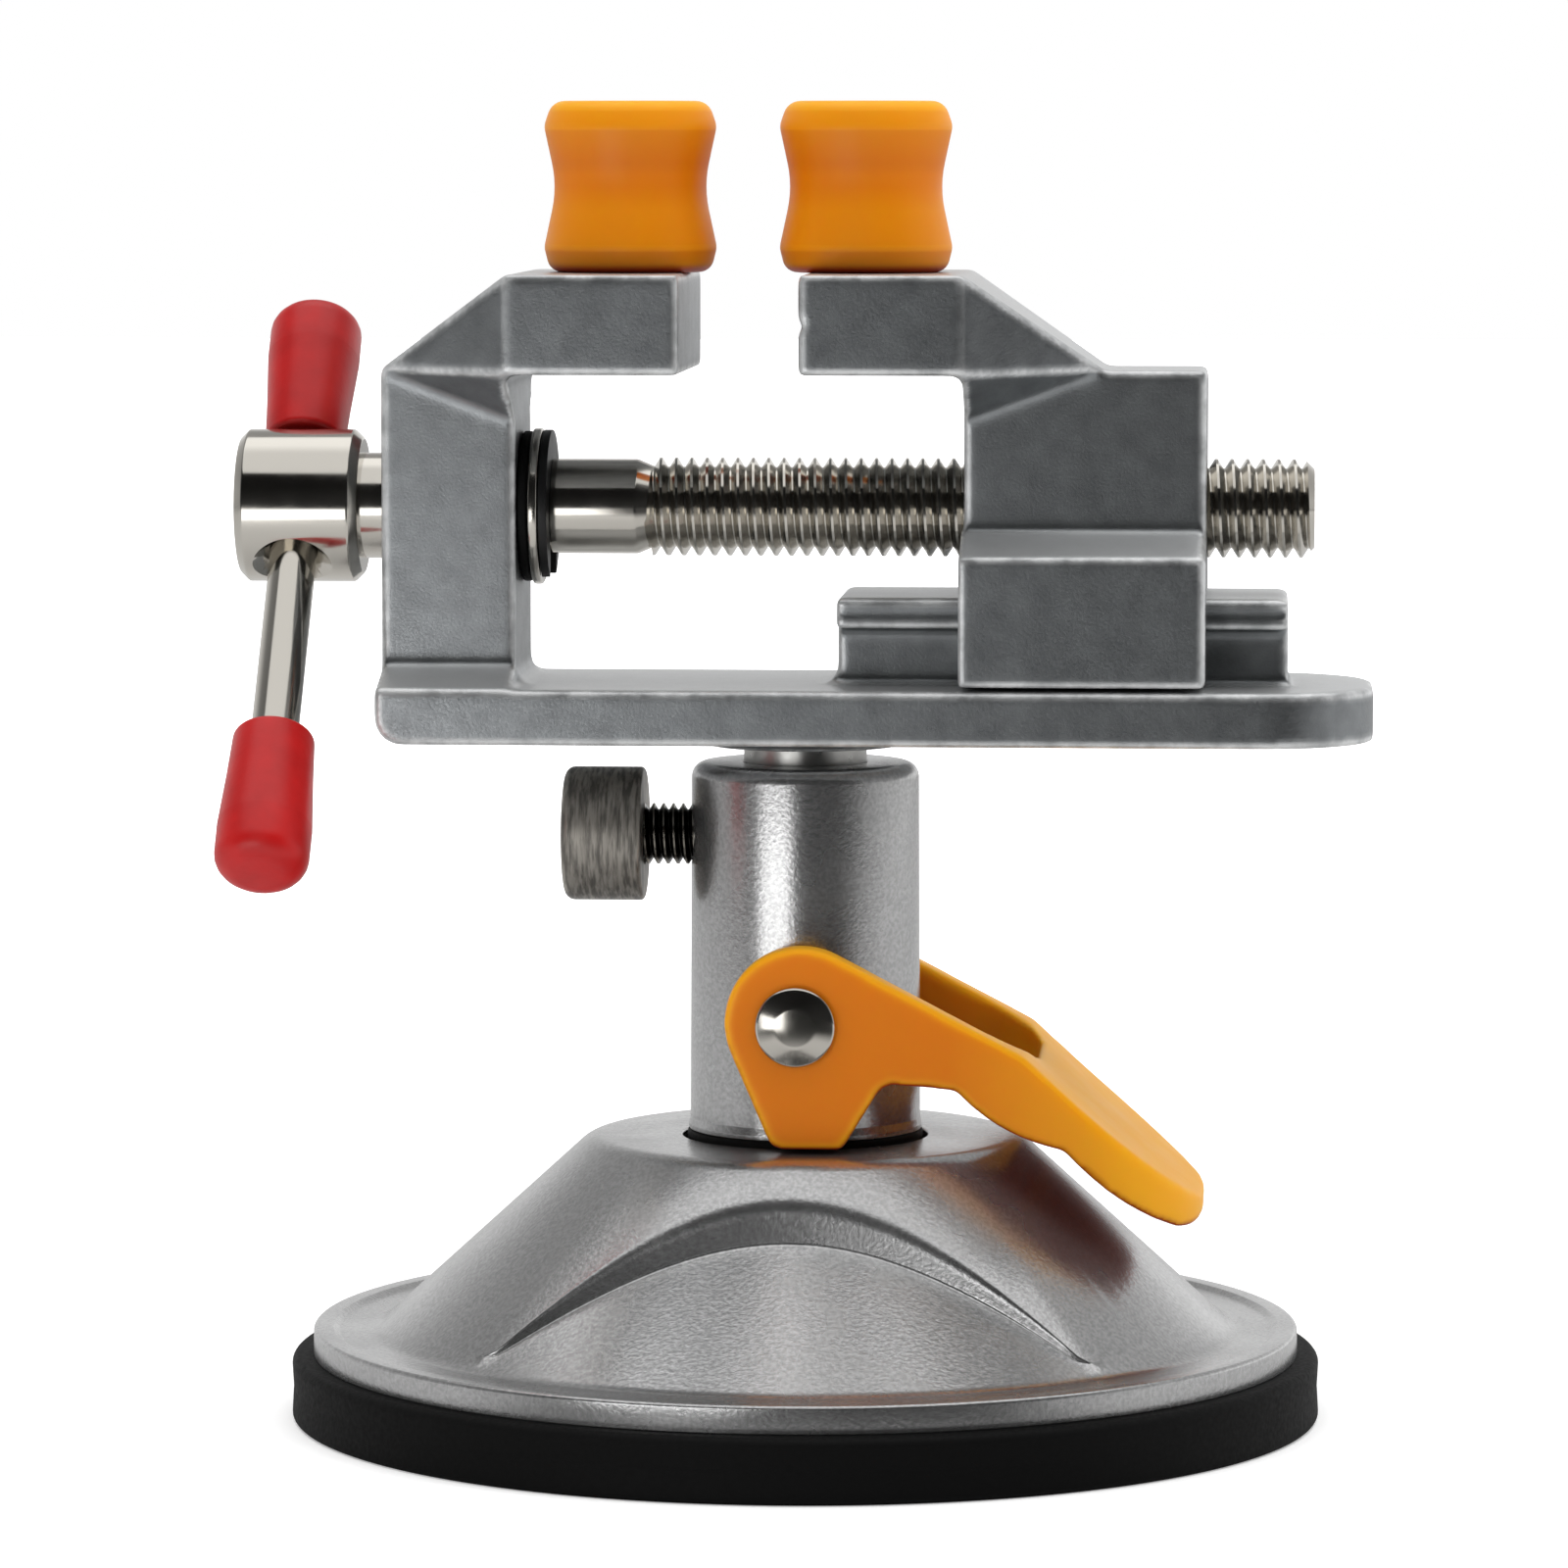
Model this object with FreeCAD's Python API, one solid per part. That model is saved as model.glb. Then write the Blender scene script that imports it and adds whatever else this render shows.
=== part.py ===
"""Suction base vise: a small cast bench vise on a lever-locked suction foot.

Frame: millimetres, +Z up, the screw runs along X, the foot stands on Z = 0 and the
column's axis is the Z axis. Every sub-part is written to parts/NAME.step, locked down
on the table, with the jaws at the opening that the picture shows.
"""
import math
import os

import FreeCAD, Part
from FreeCAD import Vector

# Suction foot
flange_radius = 40.2
pad_overhang = 1.8
pad_height = 5.2
pad_rim_width = 6.5
pad_skin = 2.0
pad_lift = 1.7
pad_edge_radius = 0.8
flange_height = 1.9
flange_width = 5.2
flange_bead_width = 1.6
flange_bead_rise = 0.35
cone_fillet = 3.0
dome_height = 15.9
dome_top_radius = 17.6
dome_top_round = 1.2
dome_wall = 2.6
dome_bore_radius = 5.3
facet_setback = 3.0
facet_ledge_radius = 80.0
facet_floor_drop = 6.1

# Column and its plunger
column_height = 30.0
column_radius_top = 9.25
column_radius_foot = 9.5
column_foot_gap = 0.5
column_round = 0.8
column_foot_round = 0.4
column_stroke = 1.2
collar_radius = 9.7
collar_clearance = 0.3
collar_seat = 0.6
collar_floor_gap = 0.5
stud_radius = 3.0
stud_end_wall = 1.0
stud_plate_radius = 8.0
stud_plate_thickness = 1.6
post_radius = 5.0
post_bore_floor = 2.5
running_clearance = 0.05

# Release spring round the stud
spring_wire_radius = 0.6
spring_radius = 6.6
spring_end_gap = 0.2

# Cam lever
pivot_height = 10.3
pin_radius = 2.2
pin_head_radius = 3.25
pin_head_height = 1.3
pin_head_gap = 0.05
pin_head_round = 1.1
lever_gap = 0.5
lever_arm_thickness = 3.0
lever_ear_radius = 6.1
lever_ear_shift_x = 0.35
lever_ear_shift_z = 0.2
lever_foot_gap = 0.35
lever_foot_left = 2.3
lever_foot_right = 3.7
lever_foot_round = 1.15
lever_length = 32.6
lever_slot_end = 19.0
lever_tip_round = 9.5
lever_slot_round = 5.0
# Points of the lever's edges, as shares of its length, from the pin's axis
lever_top_shares = ((0.561, -0.071), (0.761, -0.252), (0.972, -0.425))
lever_tip_share = (1.0, -0.476)
lever_low_shares = ((0.935, -0.505), (0.785, -0.417), (0.656, -0.301))
lever_belly_shares = ((0.537, -0.264), (0.393, -0.156))
lever_heel_share = (0.215, -0.141)
lever_heel_round = 1.5
heel_bow_share = 0.45

# Clamp screw in the column
clamp_drop = 6.0
clamp_thread_radius = 2.5
clamp_thread_pitch = 0.8
clamp_thread_depth = 0.5
clamp_knob_radius = 5.45
clamp_knob_length = 6.5
clamp_knob_standoff = 3.85
clamp_knob_edge = 0.5
knob_bore_share = 0.7
clamp_tip_gap = 0.35

# Vise bar with its fixed jaw
head_gap = 2.1
bar_left_x = -33.9
bar_length = 79.9
bar_half_width = 12.0
bar_thickness = 4.5
bar_corner_round = 2.8
bar_end_round = 9.0
boss_radius = 8.5
boss_height = 0.7
post_grip = 3.4
post_tip_gap = 0.8
post_tip_round = 0.6
upright_depth = 10.9
upright_half_width = 6.6
ledge_height = 1.5
root_fillet = 1.5
shoulder_rise = 0.3
shoulder_drop = 3.8
arm_rise = 11.0
arm_height = 8.0
arm_reach = 13.6
arm_root_inset = 0.25

# Slide rail on the bar
rail_length = 36.2
rail_setback = 6.9
rail_head_half_width = 7.5
rail_neck_half_width = 4.6
rail_neck_height = 4.7
rail_head_height = 2.5
rail_groove = 0.35
slide_clearance = 0.3

# Moving jaw
jaw_opening = 9.5
moving_reach = 13.0
moving_root_overlap = 0.25
moving_depth = 19.7
moving_body_inset = 0.25
moving_slope_run = 11.3
band_rise = 3.5
band_height = 1.75
notch_height = 3.9
notch_depth = 0.5

# Lead screw
screw_rise = 6.9
screw_radius = 4.0
screw_pitch = 1.25
screw_thread_depth = 0.75
shank_radius = 3.85
shank_length = 10.9
screw_overhang = 8.65
screw_collar_length = 2.1
screw_collar_radius = 4.3
screw_head_length = 10.0
screw_head_radius = 6.2
screw_head_chamfer = 0.7
washer_radius = 6.35
fibre_washer_radius = 6.1
fibre_washer_thickness = 0.8
washer_gap = 0.05
washer_thickness = 0.8
ring_radius = 6.2
ring_thickness = 0.7
ring_groove_radius = 3.3
ring_gap_half_width = 2.6
axial_clearance = 0.1

# Tommy bar through the screw head
tommy_inset = 4.6
tommy_radius = 1.9
tommy_tilt_deg = 41.5
countersink_radius = 3.0
countersink_depth = 1.3
cap_length = 13.4
cap_mouth_radius = 3.25
cap_radius = 3.8
cap_wall = 1.5
cap_mouth_round = 0.4
cap_round_share = 0.9
tommy_length = 56.8
tommy_rest_gap = 0.1

# Pads on the jaw tops
jaw_pad_radius = 7.0
jaw_pad_waist = 1.05
jaw_pad_height = 13.8
jaw_pad_round = 1.6
jaw_pad_overhang = 2.2
pad_peg_radius = 2.2
pad_peg_depth = 4.5

# Shared helpers' sizes
cut_overrun = 1.0
bend_share = 0.49
crest_share = 0.44
angle_tolerance = 1e-6

Z_AXIS = Vector(0, 0, 1)
X_AXIS = Vector(1, 0, 0)
Y_AXIS = Vector(0, 1, 0)

# Places that follow from the sizes: the foot
pad_radius = flange_radius + pad_overhang
cone_foot_radius = flange_radius - flange_width
facet_ledge_distance = dome_top_radius + facet_setback
flange_top_z = pad_height + flange_height
dome_top_z = flange_top_z + dome_height
facet_floor_top_z = dome_top_z - facet_floor_drop
collar_pocket_depth = collar_seat + column_stroke + collar_floor_gap

# The column and its lever
column_foot_z = dome_top_z + column_foot_gap
column_top_z = column_foot_z + column_height
pivot_z = dome_top_z + pivot_height
pivot = Vector(0, 0, pivot_z)
stud_top_z = pivot_z - pin_radius - stud_end_wall
post_bore_z = pivot_z + pin_radius + post_bore_floor
lever_inner_y = column_radius_foot + lever_gap
lever_outer_y = lever_inner_y + lever_arm_thickness
clamp_z = column_top_z - clamp_drop
clamp_knob_x = -column_radius_top - clamp_knob_standoff - clamp_knob_length

# The head, upwards
bar_bottom_z = column_top_z + head_gap
bar_top_z = bar_bottom_z + bar_thickness
rail_head_bottom_z = bar_top_z + rail_neck_height
rail_head_top_z = rail_head_bottom_z + rail_head_height
band_low_z = rail_head_top_z + band_rise
band_high_z = band_low_z + band_height
screw_z = rail_head_top_z + screw_rise
arm_bottom_z = screw_z + arm_rise
arm_top_z = arm_bottom_z + arm_height
jaw_shoulder_z = arm_bottom_z + shoulder_rise
notch_z = arm_bottom_z + notch_height

# The head, along the screw
bar_right_x = bar_left_x + bar_length
upright_inner_x = bar_left_x + upright_depth
arm_root_x = upright_inner_x - arm_root_inset
fixed_face_x = upright_inner_x + arm_reach
rail_right_x = bar_right_x - rail_setback
rail_left_x = rail_right_x - rail_length
moving_face_x = fixed_face_x + jaw_opening
moving_root_x = moving_face_x + moving_reach
moving_left_x = moving_root_x - moving_root_overlap
moving_right_x = moving_left_x + moving_depth
moving_body_x = moving_left_x + moving_body_inset
moving_slope_x = moving_body_x + moving_slope_run
screw_head_x = bar_left_x - screw_collar_length - screw_head_length
thread_start_x = upright_inner_x + shank_length
fibre_washer_x = upright_inner_x + washer_gap
thrust_washer_x = fibre_washer_x + fibre_washer_thickness + washer_gap
ring_x = thrust_washer_x + washer_thickness + washer_gap
ring_end_x = ring_x + ring_thickness
screw_end_x = moving_right_x + screw_overhang
fixed_pad_x = fixed_face_x + jaw_pad_overhang - jaw_pad_radius
moving_pad_x = moving_face_x - jaw_pad_overhang + jaw_pad_radius

# The tommy bar
tommy_tilt = math.radians(tommy_tilt_deg)
tommy_direction = Vector(0, math.sin(tommy_tilt), math.cos(tommy_tilt))
tommy_centre = Vector(screw_head_x + tommy_inset, 0, screw_z)
cap_upper_end = screw_head_radius + tommy_rest_gap + cap_length
cap_lower_end = tommy_length - cap_upper_end


def rod(radius, start, end):
    """Return a round bar from one point to another."""
    return Part.makeCylinder(radius, (end - start).Length, start, end - start)


def rounded_face(corners):
    """Return a flat face over corners of (point, radius), each rounded to its radius."""
    bends = []
    for index, (point, radius) in enumerate(corners):
        back = corners[index - 1][0] - point
        ahead = corners[(index + 1) % len(corners)][0] - point
        if radius == 0:
            bends.append((point, None, point))
            continue
        longest = min(back.Length, ahead.Length) * bend_share
        back.normalize()
        ahead.normalize()
        half = back.getAngle(ahead) / 2
        reach = min(radius / math.tan(half), longest)
        inward = (back + ahead).normalize()
        swing = reach * (1 / math.cos(half) - math.tan(half))
        bends.append((point + back * reach, point + inward * swing, point + ahead * reach))
    edges = []
    for index, (start, middle, end) in enumerate(bends):
        if middle is not None:
            edges.append(Part.Arc(start, middle, end).toShape())
        following = bends[(index + 1) % len(bends)][0]
        edges.append(Part.LineSegment(end, following).toShape())
    return Part.Face(Part.Wire(edges))


def turned(corners, origin, direction):
    """Turn an outline of (radius, distance, rounding) corners round an axis."""
    side = Y_AXIS if direction.isEqual(X_AXIS, angle_tolerance) else X_AXIS
    places = [(origin + side * radius + direction * distance, rounding)
              for radius, distance, rounding in corners]
    solid = rounded_face(places).revolve(origin, direction, 360)
    if solid.Volume < 0:
        solid.reverse()
    return solid


def block(x_low, x_high, half_width, z_low, z_high):
    """Return a box that is centred on the XZ plane."""
    return Part.makeBox(x_high - x_low, half_width + half_width, z_high - z_low,
                        Vector(x_low, -half_width, z_low))


def polyhedron(faces):
    """Return the solid that a closed list of flat faces bounds."""
    made = [Part.Face(Part.makePolygon(list(ring) + [ring[0]])) for ring in faces]
    solid = Part.Solid(Part.Shell(made))
    if solid.Volume < 0:
        solid.reverse()
    return solid


def threaded(radius, depth, pitch, length):
    """Return the outline corners of ring grooves that stand for a screw thread."""
    count = max(1, round(length / pitch))
    step = length / count
    corners = []
    for turn in range(count):
        corners.append((radius - depth, turn * step, 0))
        corners.append((radius, (turn + crest_share) * step, 0))
        corners.append((radius, (turn + 1 - crest_share) * step, 0))
    corners.append((radius - depth, length, 0))
    return corners


def shifted(corners, distance):
    """Move outline corners along their axis."""
    return [(radius, place + distance, rounding) for radius, place, rounding in corners]


def write(name, shape):
    """Write one sub-part and print what it is."""
    shape.exportStep("parts/" + name + ".step")
    state = "valid" if shape.isValid() else "NOT VALID"
    print(name, state, len(shape.Solids), round(shape.Volume, 1))


def facet_tool(side):
    """Return the cutter of the arched facet on the front or back of the dome."""
    floor_run = cone_foot_radius - facet_ledge_distance
    floor_slope = (facet_floor_top_z - flange_top_z) / floor_run
    inner = facet_ledge_distance - cut_overrun
    outer = cone_foot_radius + cone_fillet
    ceiling = dome_top_z + cut_overrun
    ring = turned([(inner, facet_floor_top_z + floor_slope * cut_overrun, 0),
                   (cone_foot_radius, flange_top_z, 0), (outer, flange_top_z, 0),
                   (outer, ceiling, 0), (inner, ceiling, 0)], Vector(), Z_AXIS)
    centre = Vector(0, side * (facet_ledge_distance + facet_ledge_radius), 0)
    return ring.common(rod(facet_ledge_radius, centre, centre + Z_AXIS * ceiling))


def base_shell():
    """Cast dome with its flange, arched facets and the pocket for the collar."""
    pocket_radius = collar_radius + collar_clearance
    pocket_floor = dome_top_z - collar_pocket_depth
    inner_top = pocket_floor - dome_wall
    floor_slope = (facet_floor_top_z - flange_top_z) / (cone_foot_radius - facet_ledge_distance)
    inner_drop = dome_wall * math.hypot(1, floor_slope)
    inner_line_z = facet_floor_top_z - inner_drop
    inner_top_radius = facet_ledge_distance - (inner_top - inner_line_z) / floor_slope
    inner_foot_radius = facet_ledge_distance + (inner_line_z - pad_height) / floor_slope
    bead_inner = flange_radius - flange_bead_width
    bead_top = flange_top_z + flange_bead_rise
    corners = [(dome_bore_radius, inner_top, 0), (inner_top_radius, inner_top, 0),
               (inner_foot_radius, pad_height, 0), (flange_radius, pad_height, 0),
               (flange_radius, bead_top, flange_bead_rise), (bead_inner, bead_top, flange_bead_rise),
               (bead_inner - flange_bead_rise, flange_top_z, 0),
               (cone_foot_radius, flange_top_z, cone_fillet),
               (dome_top_radius, dome_top_z, dome_top_round), (pocket_radius, dome_top_z, 0),
               (pocket_radius, pocket_floor, 0), (dome_bore_radius, pocket_floor, 0)]
    shell = turned(corners, Vector(), Z_AXIS)
    return shell.cut(facet_tool(-1)).cut(facet_tool(1))


def suction_pad():
    """Rubber disc: a rim under the flange and a thin skin that the stud lifts."""
    seat_inner = pad_radius - pad_rim_width - (pad_radius - flange_radius)
    skin_top = pad_lift + pad_skin
    hub_radius = stud_plate_radius + pad_skin
    hub_top = skin_top + stud_plate_thickness
    corners = [(0, pad_lift, 0), (seat_inner - pad_rim_width, pad_lift, 0),
               (seat_inner, 0, 0), (pad_radius, 0, 0), (pad_radius, pad_height, pad_edge_radius),
               (seat_inner - pad_skin, pad_height, 0), (seat_inner - pad_skin - pad_skin, skin_top, 0),
               (hub_radius + pad_skin, skin_top, 0), (hub_radius, hub_top, 0),
               (stud_plate_radius, hub_top, 0), (stud_plate_radius, skin_top, 0), (0, skin_top, 0)]
    return turned(corners, Vector(), Z_AXIS)


def stud_plate():
    """Steel disc in the rubber's hub, which the stud lifts."""
    low = pad_lift + pad_skin
    corners = [(stud_radius, low, 0), (stud_plate_radius, low, 0),
               (stud_plate_radius, low + stud_plate_thickness, 0),
               (stud_radius, low + stud_plate_thickness, 0)]
    return turned(corners, Vector(), Z_AXIS)


def pad_stud():
    """Stud from the rubber's steel disc up into the foot of the column."""
    return rod(stud_radius, Z_AXIS * (pad_lift + pad_skin), Z_AXIS * stud_top_z)


def release_spring():
    """Sleeve that holds the place of the spring between dome and stud plate."""
    low = pad_lift + pad_skin + stud_plate_thickness + spring_end_gap
    high = dome_top_z - collar_pocket_depth - dome_wall - spring_end_gap
    inner = spring_radius - spring_wire_radius
    outer = spring_radius + spring_wire_radius
    return turned([(inner, low, 0), (outer, low, 0), (outer, high, 0), (inner, high, 0)],
                  Vector(), Z_AXIS)


def column():
    """Cast column with the post's bore, the stud's bore and two cross holes."""
    bore = post_radius + running_clearance
    corners = [(0, stud_top_z, 0), (stud_radius, stud_top_z, 0), (stud_radius, column_foot_z, 0),
               (column_radius_foot, column_foot_z, column_foot_round),
               (column_radius_top, column_top_z, column_round), (bore, column_top_z, 0),
               (bore, post_bore_z, 0), (0, post_bore_z, 0)]
    body = turned(corners, Vector(), Z_AXIS)
    across = Y_AXIS * (column_radius_foot + cut_overrun)
    body = body.cut(rod(pin_radius, pivot - across, pivot + across))
    clamp_axis = Z_AXIS * clamp_z
    outside = clamp_axis - X_AXIS * (column_radius_foot + cut_overrun)
    return body.cut(rod(clamp_thread_radius + running_clearance, outside, clamp_axis))


def column_collar():
    """Dark ring under the column that runs in the dome's pocket."""
    low = dome_top_z - collar_seat
    corners = [(stud_radius, low, 0), (collar_radius, low, 0),
               (collar_radius, column_foot_z, 0), (stud_radius, column_foot_z, 0)]
    return turned(corners, Vector(), Z_AXIS)


def lever_point(share):
    """Return a point of the lever's edge from its share of the lever's length."""
    return pivot + X_AXIS * (share[0] * lever_length) + Z_AXIS * (share[1] * lever_length)


def circle_point(centre, radius, angle):
    """Return the point of a circle in the XZ plane at an angle."""
    return centre + X_AXIS * (radius * math.cos(angle)) + Z_AXIS * (radius * math.sin(angle))


def tangent_angle(centre, radius, other, other_radius, side):
    """Return the angle at which a line touches both circles on one side."""
    away = other - centre
    spread = math.acos((radius - other_radius) / away.Length)
    return math.atan2(away.z, away.x) + side * spread


def lever_outline():
    """Return the face of the lever's side: cam foot, ear, arm and paddle."""
    ear = pivot + X_AXIS * lever_ear_shift_x + Z_AXIS * lever_ear_shift_z
    foot_z = dome_top_z + lever_foot_gap
    toe = Vector(lever_foot_round - lever_foot_left, 0, foot_z + lever_foot_round)
    top = [lever_point(share) for share in lever_top_shares]
    low = [lever_point(share) for share in lever_low_shares]
    belly = [lever_point(share) for share in lever_belly_shares]
    heel = lever_point(lever_heel_share)
    foot_right = Vector(lever_foot_right, 0, foot_z)
    crest_angle = tangent_angle(ear, lever_ear_radius, top[0], 0, 1)
    back_angle = tangent_angle(ear, lever_ear_radius, toe, lever_foot_round, -1)
    mid_angle = (crest_angle + back_angle + math.pi + math.pi) / 2
    toe_angle = (back_angle - math.pi / 2) / 2
    along = (belly[1] - heel).normalize()
    down = (foot_right - heel).normalize()
    bend = [heel + along * lever_heel_round, heel + down * lever_heel_round]
    bend_middle = heel + (along + down).normalize() * (lever_heel_round * heel_bow_share)
    edges = [Part.Arc(circle_point(ear, lever_ear_radius, back_angle),
                      circle_point(ear, lever_ear_radius, mid_angle),
                      circle_point(ear, lever_ear_radius, crest_angle)),
             Part.LineSegment(circle_point(ear, lever_ear_radius, crest_angle), top[0]),
             Part.Arc(*top),
             Part.Arc(top[2], lever_point(lever_tip_share), low[0]),
             Part.Arc(*low),
             Part.Arc(low[2], belly[0], belly[1]),
             Part.LineSegment(belly[1], bend[0]),
             Part.Arc(bend[0], bend_middle, bend[1]),
             Part.LineSegment(bend[1], foot_right),
             Part.LineSegment(foot_right, toe - Z_AXIS * lever_foot_round),
             Part.Arc(toe - Z_AXIS * lever_foot_round,
                      circle_point(toe, lever_foot_round, toe_angle),
                      circle_point(toe, lever_foot_round, back_angle)),
             Part.LineSegment(circle_point(toe, lever_foot_round, back_angle),
                              circle_point(ear, lever_ear_radius, back_angle))]
    return Part.Face(Part.Wire([edge.toShape() for edge in edges]))


def plan_prism(x_low, x_high, half_width, rounding, z_low, z_high):
    """Return an upright prism with both corners at its far end rounded."""
    corners = [(Vector(x_low, -half_width, z_low), 0), (Vector(x_high, -half_width, z_low), rounding),
               (Vector(x_high, half_width, z_low), rounding), (Vector(x_low, half_width, z_low), 0)]
    return rounded_face(corners).extrude(Z_AXIS * (z_high - z_low))


def lever():
    """Fork that straddles the column, its cam feet on the dome and its paddle."""
    side = lever_outline()
    side.translate(-Y_AXIS * lever_outer_y)
    body = side.extrude(Y_AXIS * (lever_outer_y + lever_outer_y))
    low = pivot_z - lever_length
    high = pivot_z + lever_length
    plan = plan_prism(-lever_length, lever_length, lever_outer_y, lever_tip_round, low, high)
    slot = plan_prism(-lever_length, lever_slot_end, lever_inner_y, lever_slot_round, low, high)
    hole = rod(pin_radius + running_clearance, pivot - Y_AXIS * lever_length,
               pivot + Y_AXIS * lever_length)
    return body.common(plan).cut(slot).cut(hole)


def lever_pin():
    """Rivet through the column and both lever ears, with two domed heads."""
    seat = lever_outer_y + pin_head_gap
    end = seat + pin_head_height
    corners = [(0, -end, 0), (pin_head_radius, -end, pin_head_round), (pin_head_radius, -seat, 0),
               (pin_radius, -seat, 0), (pin_radius, seat, 0), (pin_head_radius, seat, 0),
               (pin_head_radius, end, pin_head_round), (0, end, 0)]
    return turned(corners, pivot, Y_AXIS)


def clamp_knob():
    """Knob that turns the clamp screw in the column's side."""
    bore = clamp_thread_radius + running_clearance
    depth = clamp_knob_length * knob_bore_share
    start = clamp_knob_length - depth
    corners = [(0, 0, 0), (clamp_knob_radius, 0, clamp_knob_edge),
               (clamp_knob_radius, clamp_knob_length, clamp_knob_edge),
               (bore, clamp_knob_length, 0), (bore, start, 0), (0, start, 0)]
    return turned(corners, Vector(clamp_knob_x, 0, clamp_z), X_AXIS)


def clamp_screw():
    """Threaded stud of the clamp, from the knob to the post."""
    start = clamp_knob_x + clamp_knob_length * (1 - knob_bore_share) + running_clearance
    thread = clamp_knob_x + clamp_knob_length
    end = -post_radius - clamp_tip_gap
    corners = [(0, start, 0), (clamp_thread_radius, start, 0), (clamp_thread_radius, thread, 0)]
    corners += shifted(threaded(clamp_thread_radius, clamp_thread_depth, clamp_thread_pitch,
                                end - thread), thread)
    return turned(corners + [(0, end, 0)], Z_AXIS * clamp_z, X_AXIS)


def jaw_shoulder(outer_x, inner_x, root_x):
    """Faceted block between a jaw's body, narrow below, and its wider arm."""
    foot_z = arm_bottom_z - shoulder_drop
    rings = {}
    for side in (-1, 1):
        narrow = side * upright_half_width
        wide = side * bar_half_width
        rings[side] = {"outer": Vector(outer_x, narrow, jaw_shoulder_z),
                       "outer_foot": Vector(outer_x, narrow, foot_z),
                       "inner_foot": Vector(inner_x, narrow, foot_z),
                       "low": Vector(root_x, wide, arm_bottom_z),
                       "high": Vector(root_x, wide, arm_top_z)}
    front, back = rings[-1], rings[1]
    faces = []
    for ring in (front, back):
        faces.append([ring["outer"], ring["high"], ring["low"]])
        faces.append([ring["outer"], ring["low"], ring["inner_foot"]])
        faces.append([ring["outer"], ring["inner_foot"], ring["outer_foot"]])
    for low, high in (("outer", "high"), ("high", "low"), ("low", "inner_foot"),
                      ("inner_foot", "outer_foot"), ("outer_foot", "outer")):
        faces.append([front[low], front[high], back[high], back[low]])
    return polyhedron(faces)


def ledge(x_low, x_high, low_z, high_z):
    """Sloped foot that widens a jaw's body to the full width."""
    corners = [(Vector(x_low, -bar_half_width, low_z), 0), (Vector(x_low, bar_half_width, low_z), 0),
               (Vector(x_low, upright_half_width, high_z), 0),
               (Vector(x_low, -upright_half_width, high_z), 0)]
    return rounded_face(corners).extrude(X_AXIS * (x_high - x_low))


def peg_hole(pad_x):
    """Return the hole in an arm's top for a pad's peg."""
    return rod(pad_peg_radius, Vector(pad_x, 0, arm_top_z - pad_peg_depth),
               Vector(pad_x, 0, arm_top_z + cut_overrun))


def rail():
    """T-shaped rail on the bar that guides the moving jaw."""
    head = block(rail_left_x, rail_right_x, rail_head_half_width, rail_head_bottom_z, rail_head_top_z)
    neck = block(rail_left_x, rail_right_x, rail_neck_half_width, bar_top_z, rail_head_bottom_z)
    body = head.fuse(neck)
    middle = (rail_head_bottom_z + rail_head_top_z) / 2
    for side in (-1, 1):
        face_y = side * rail_head_half_width
        corners = [Vector(rail_left_x, face_y - side * rail_groove, middle),
                   Vector(rail_left_x, face_y + side * rail_groove, middle - rail_groove - rail_groove),
                   Vector(rail_left_x, face_y + side * rail_groove, middle + rail_groove + rail_groove)]
        groove = Part.Face(Part.makePolygon(corners + corners[:1]))
        body = body.cut(groove.extrude(X_AXIS * (rail_right_x - rail_left_x)))
    return body


def root_web(x, low_z, half_width):
    """Concave fillet where an end face, which looks towards -X or +X, meets the bar."""
    block_part = block(x - root_fillet, x, half_width, low_z, low_z + root_fillet)
    axis = Vector(x - root_fillet, -half_width - cut_overrun, low_z + root_fillet)
    length = Y_AXIS * (half_width + half_width + cut_overrun + cut_overrun)
    return block_part.cut(rod(root_fillet, axis, axis + length))


def mirrored_web(x, low_z, half_width):
    """The same fillet on a face that looks the other way."""
    web = root_web(x, low_z, half_width)
    return web.mirror(Vector(x, 0, 0), X_AXIS)


def vise_bar():
    """Flat bar with a rounded far end and a rounded lower corner."""
    bar = plan_prism(bar_left_x, bar_right_x, bar_half_width, bar_end_round, bar_bottom_z, bar_top_z)
    corners = [(Vector(bar_left_x, -bar_half_width, bar_bottom_z), bar_corner_round),
               (Vector(bar_right_x, -bar_half_width, bar_bottom_z), 0),
               (Vector(bar_right_x, -bar_half_width, bar_top_z), 0),
               (Vector(bar_left_x, -bar_half_width, bar_top_z), 0)]
    side = rounded_face(corners).extrude(Y_AXIS * (bar_half_width + bar_half_width))
    return bar.common(side)


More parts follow.
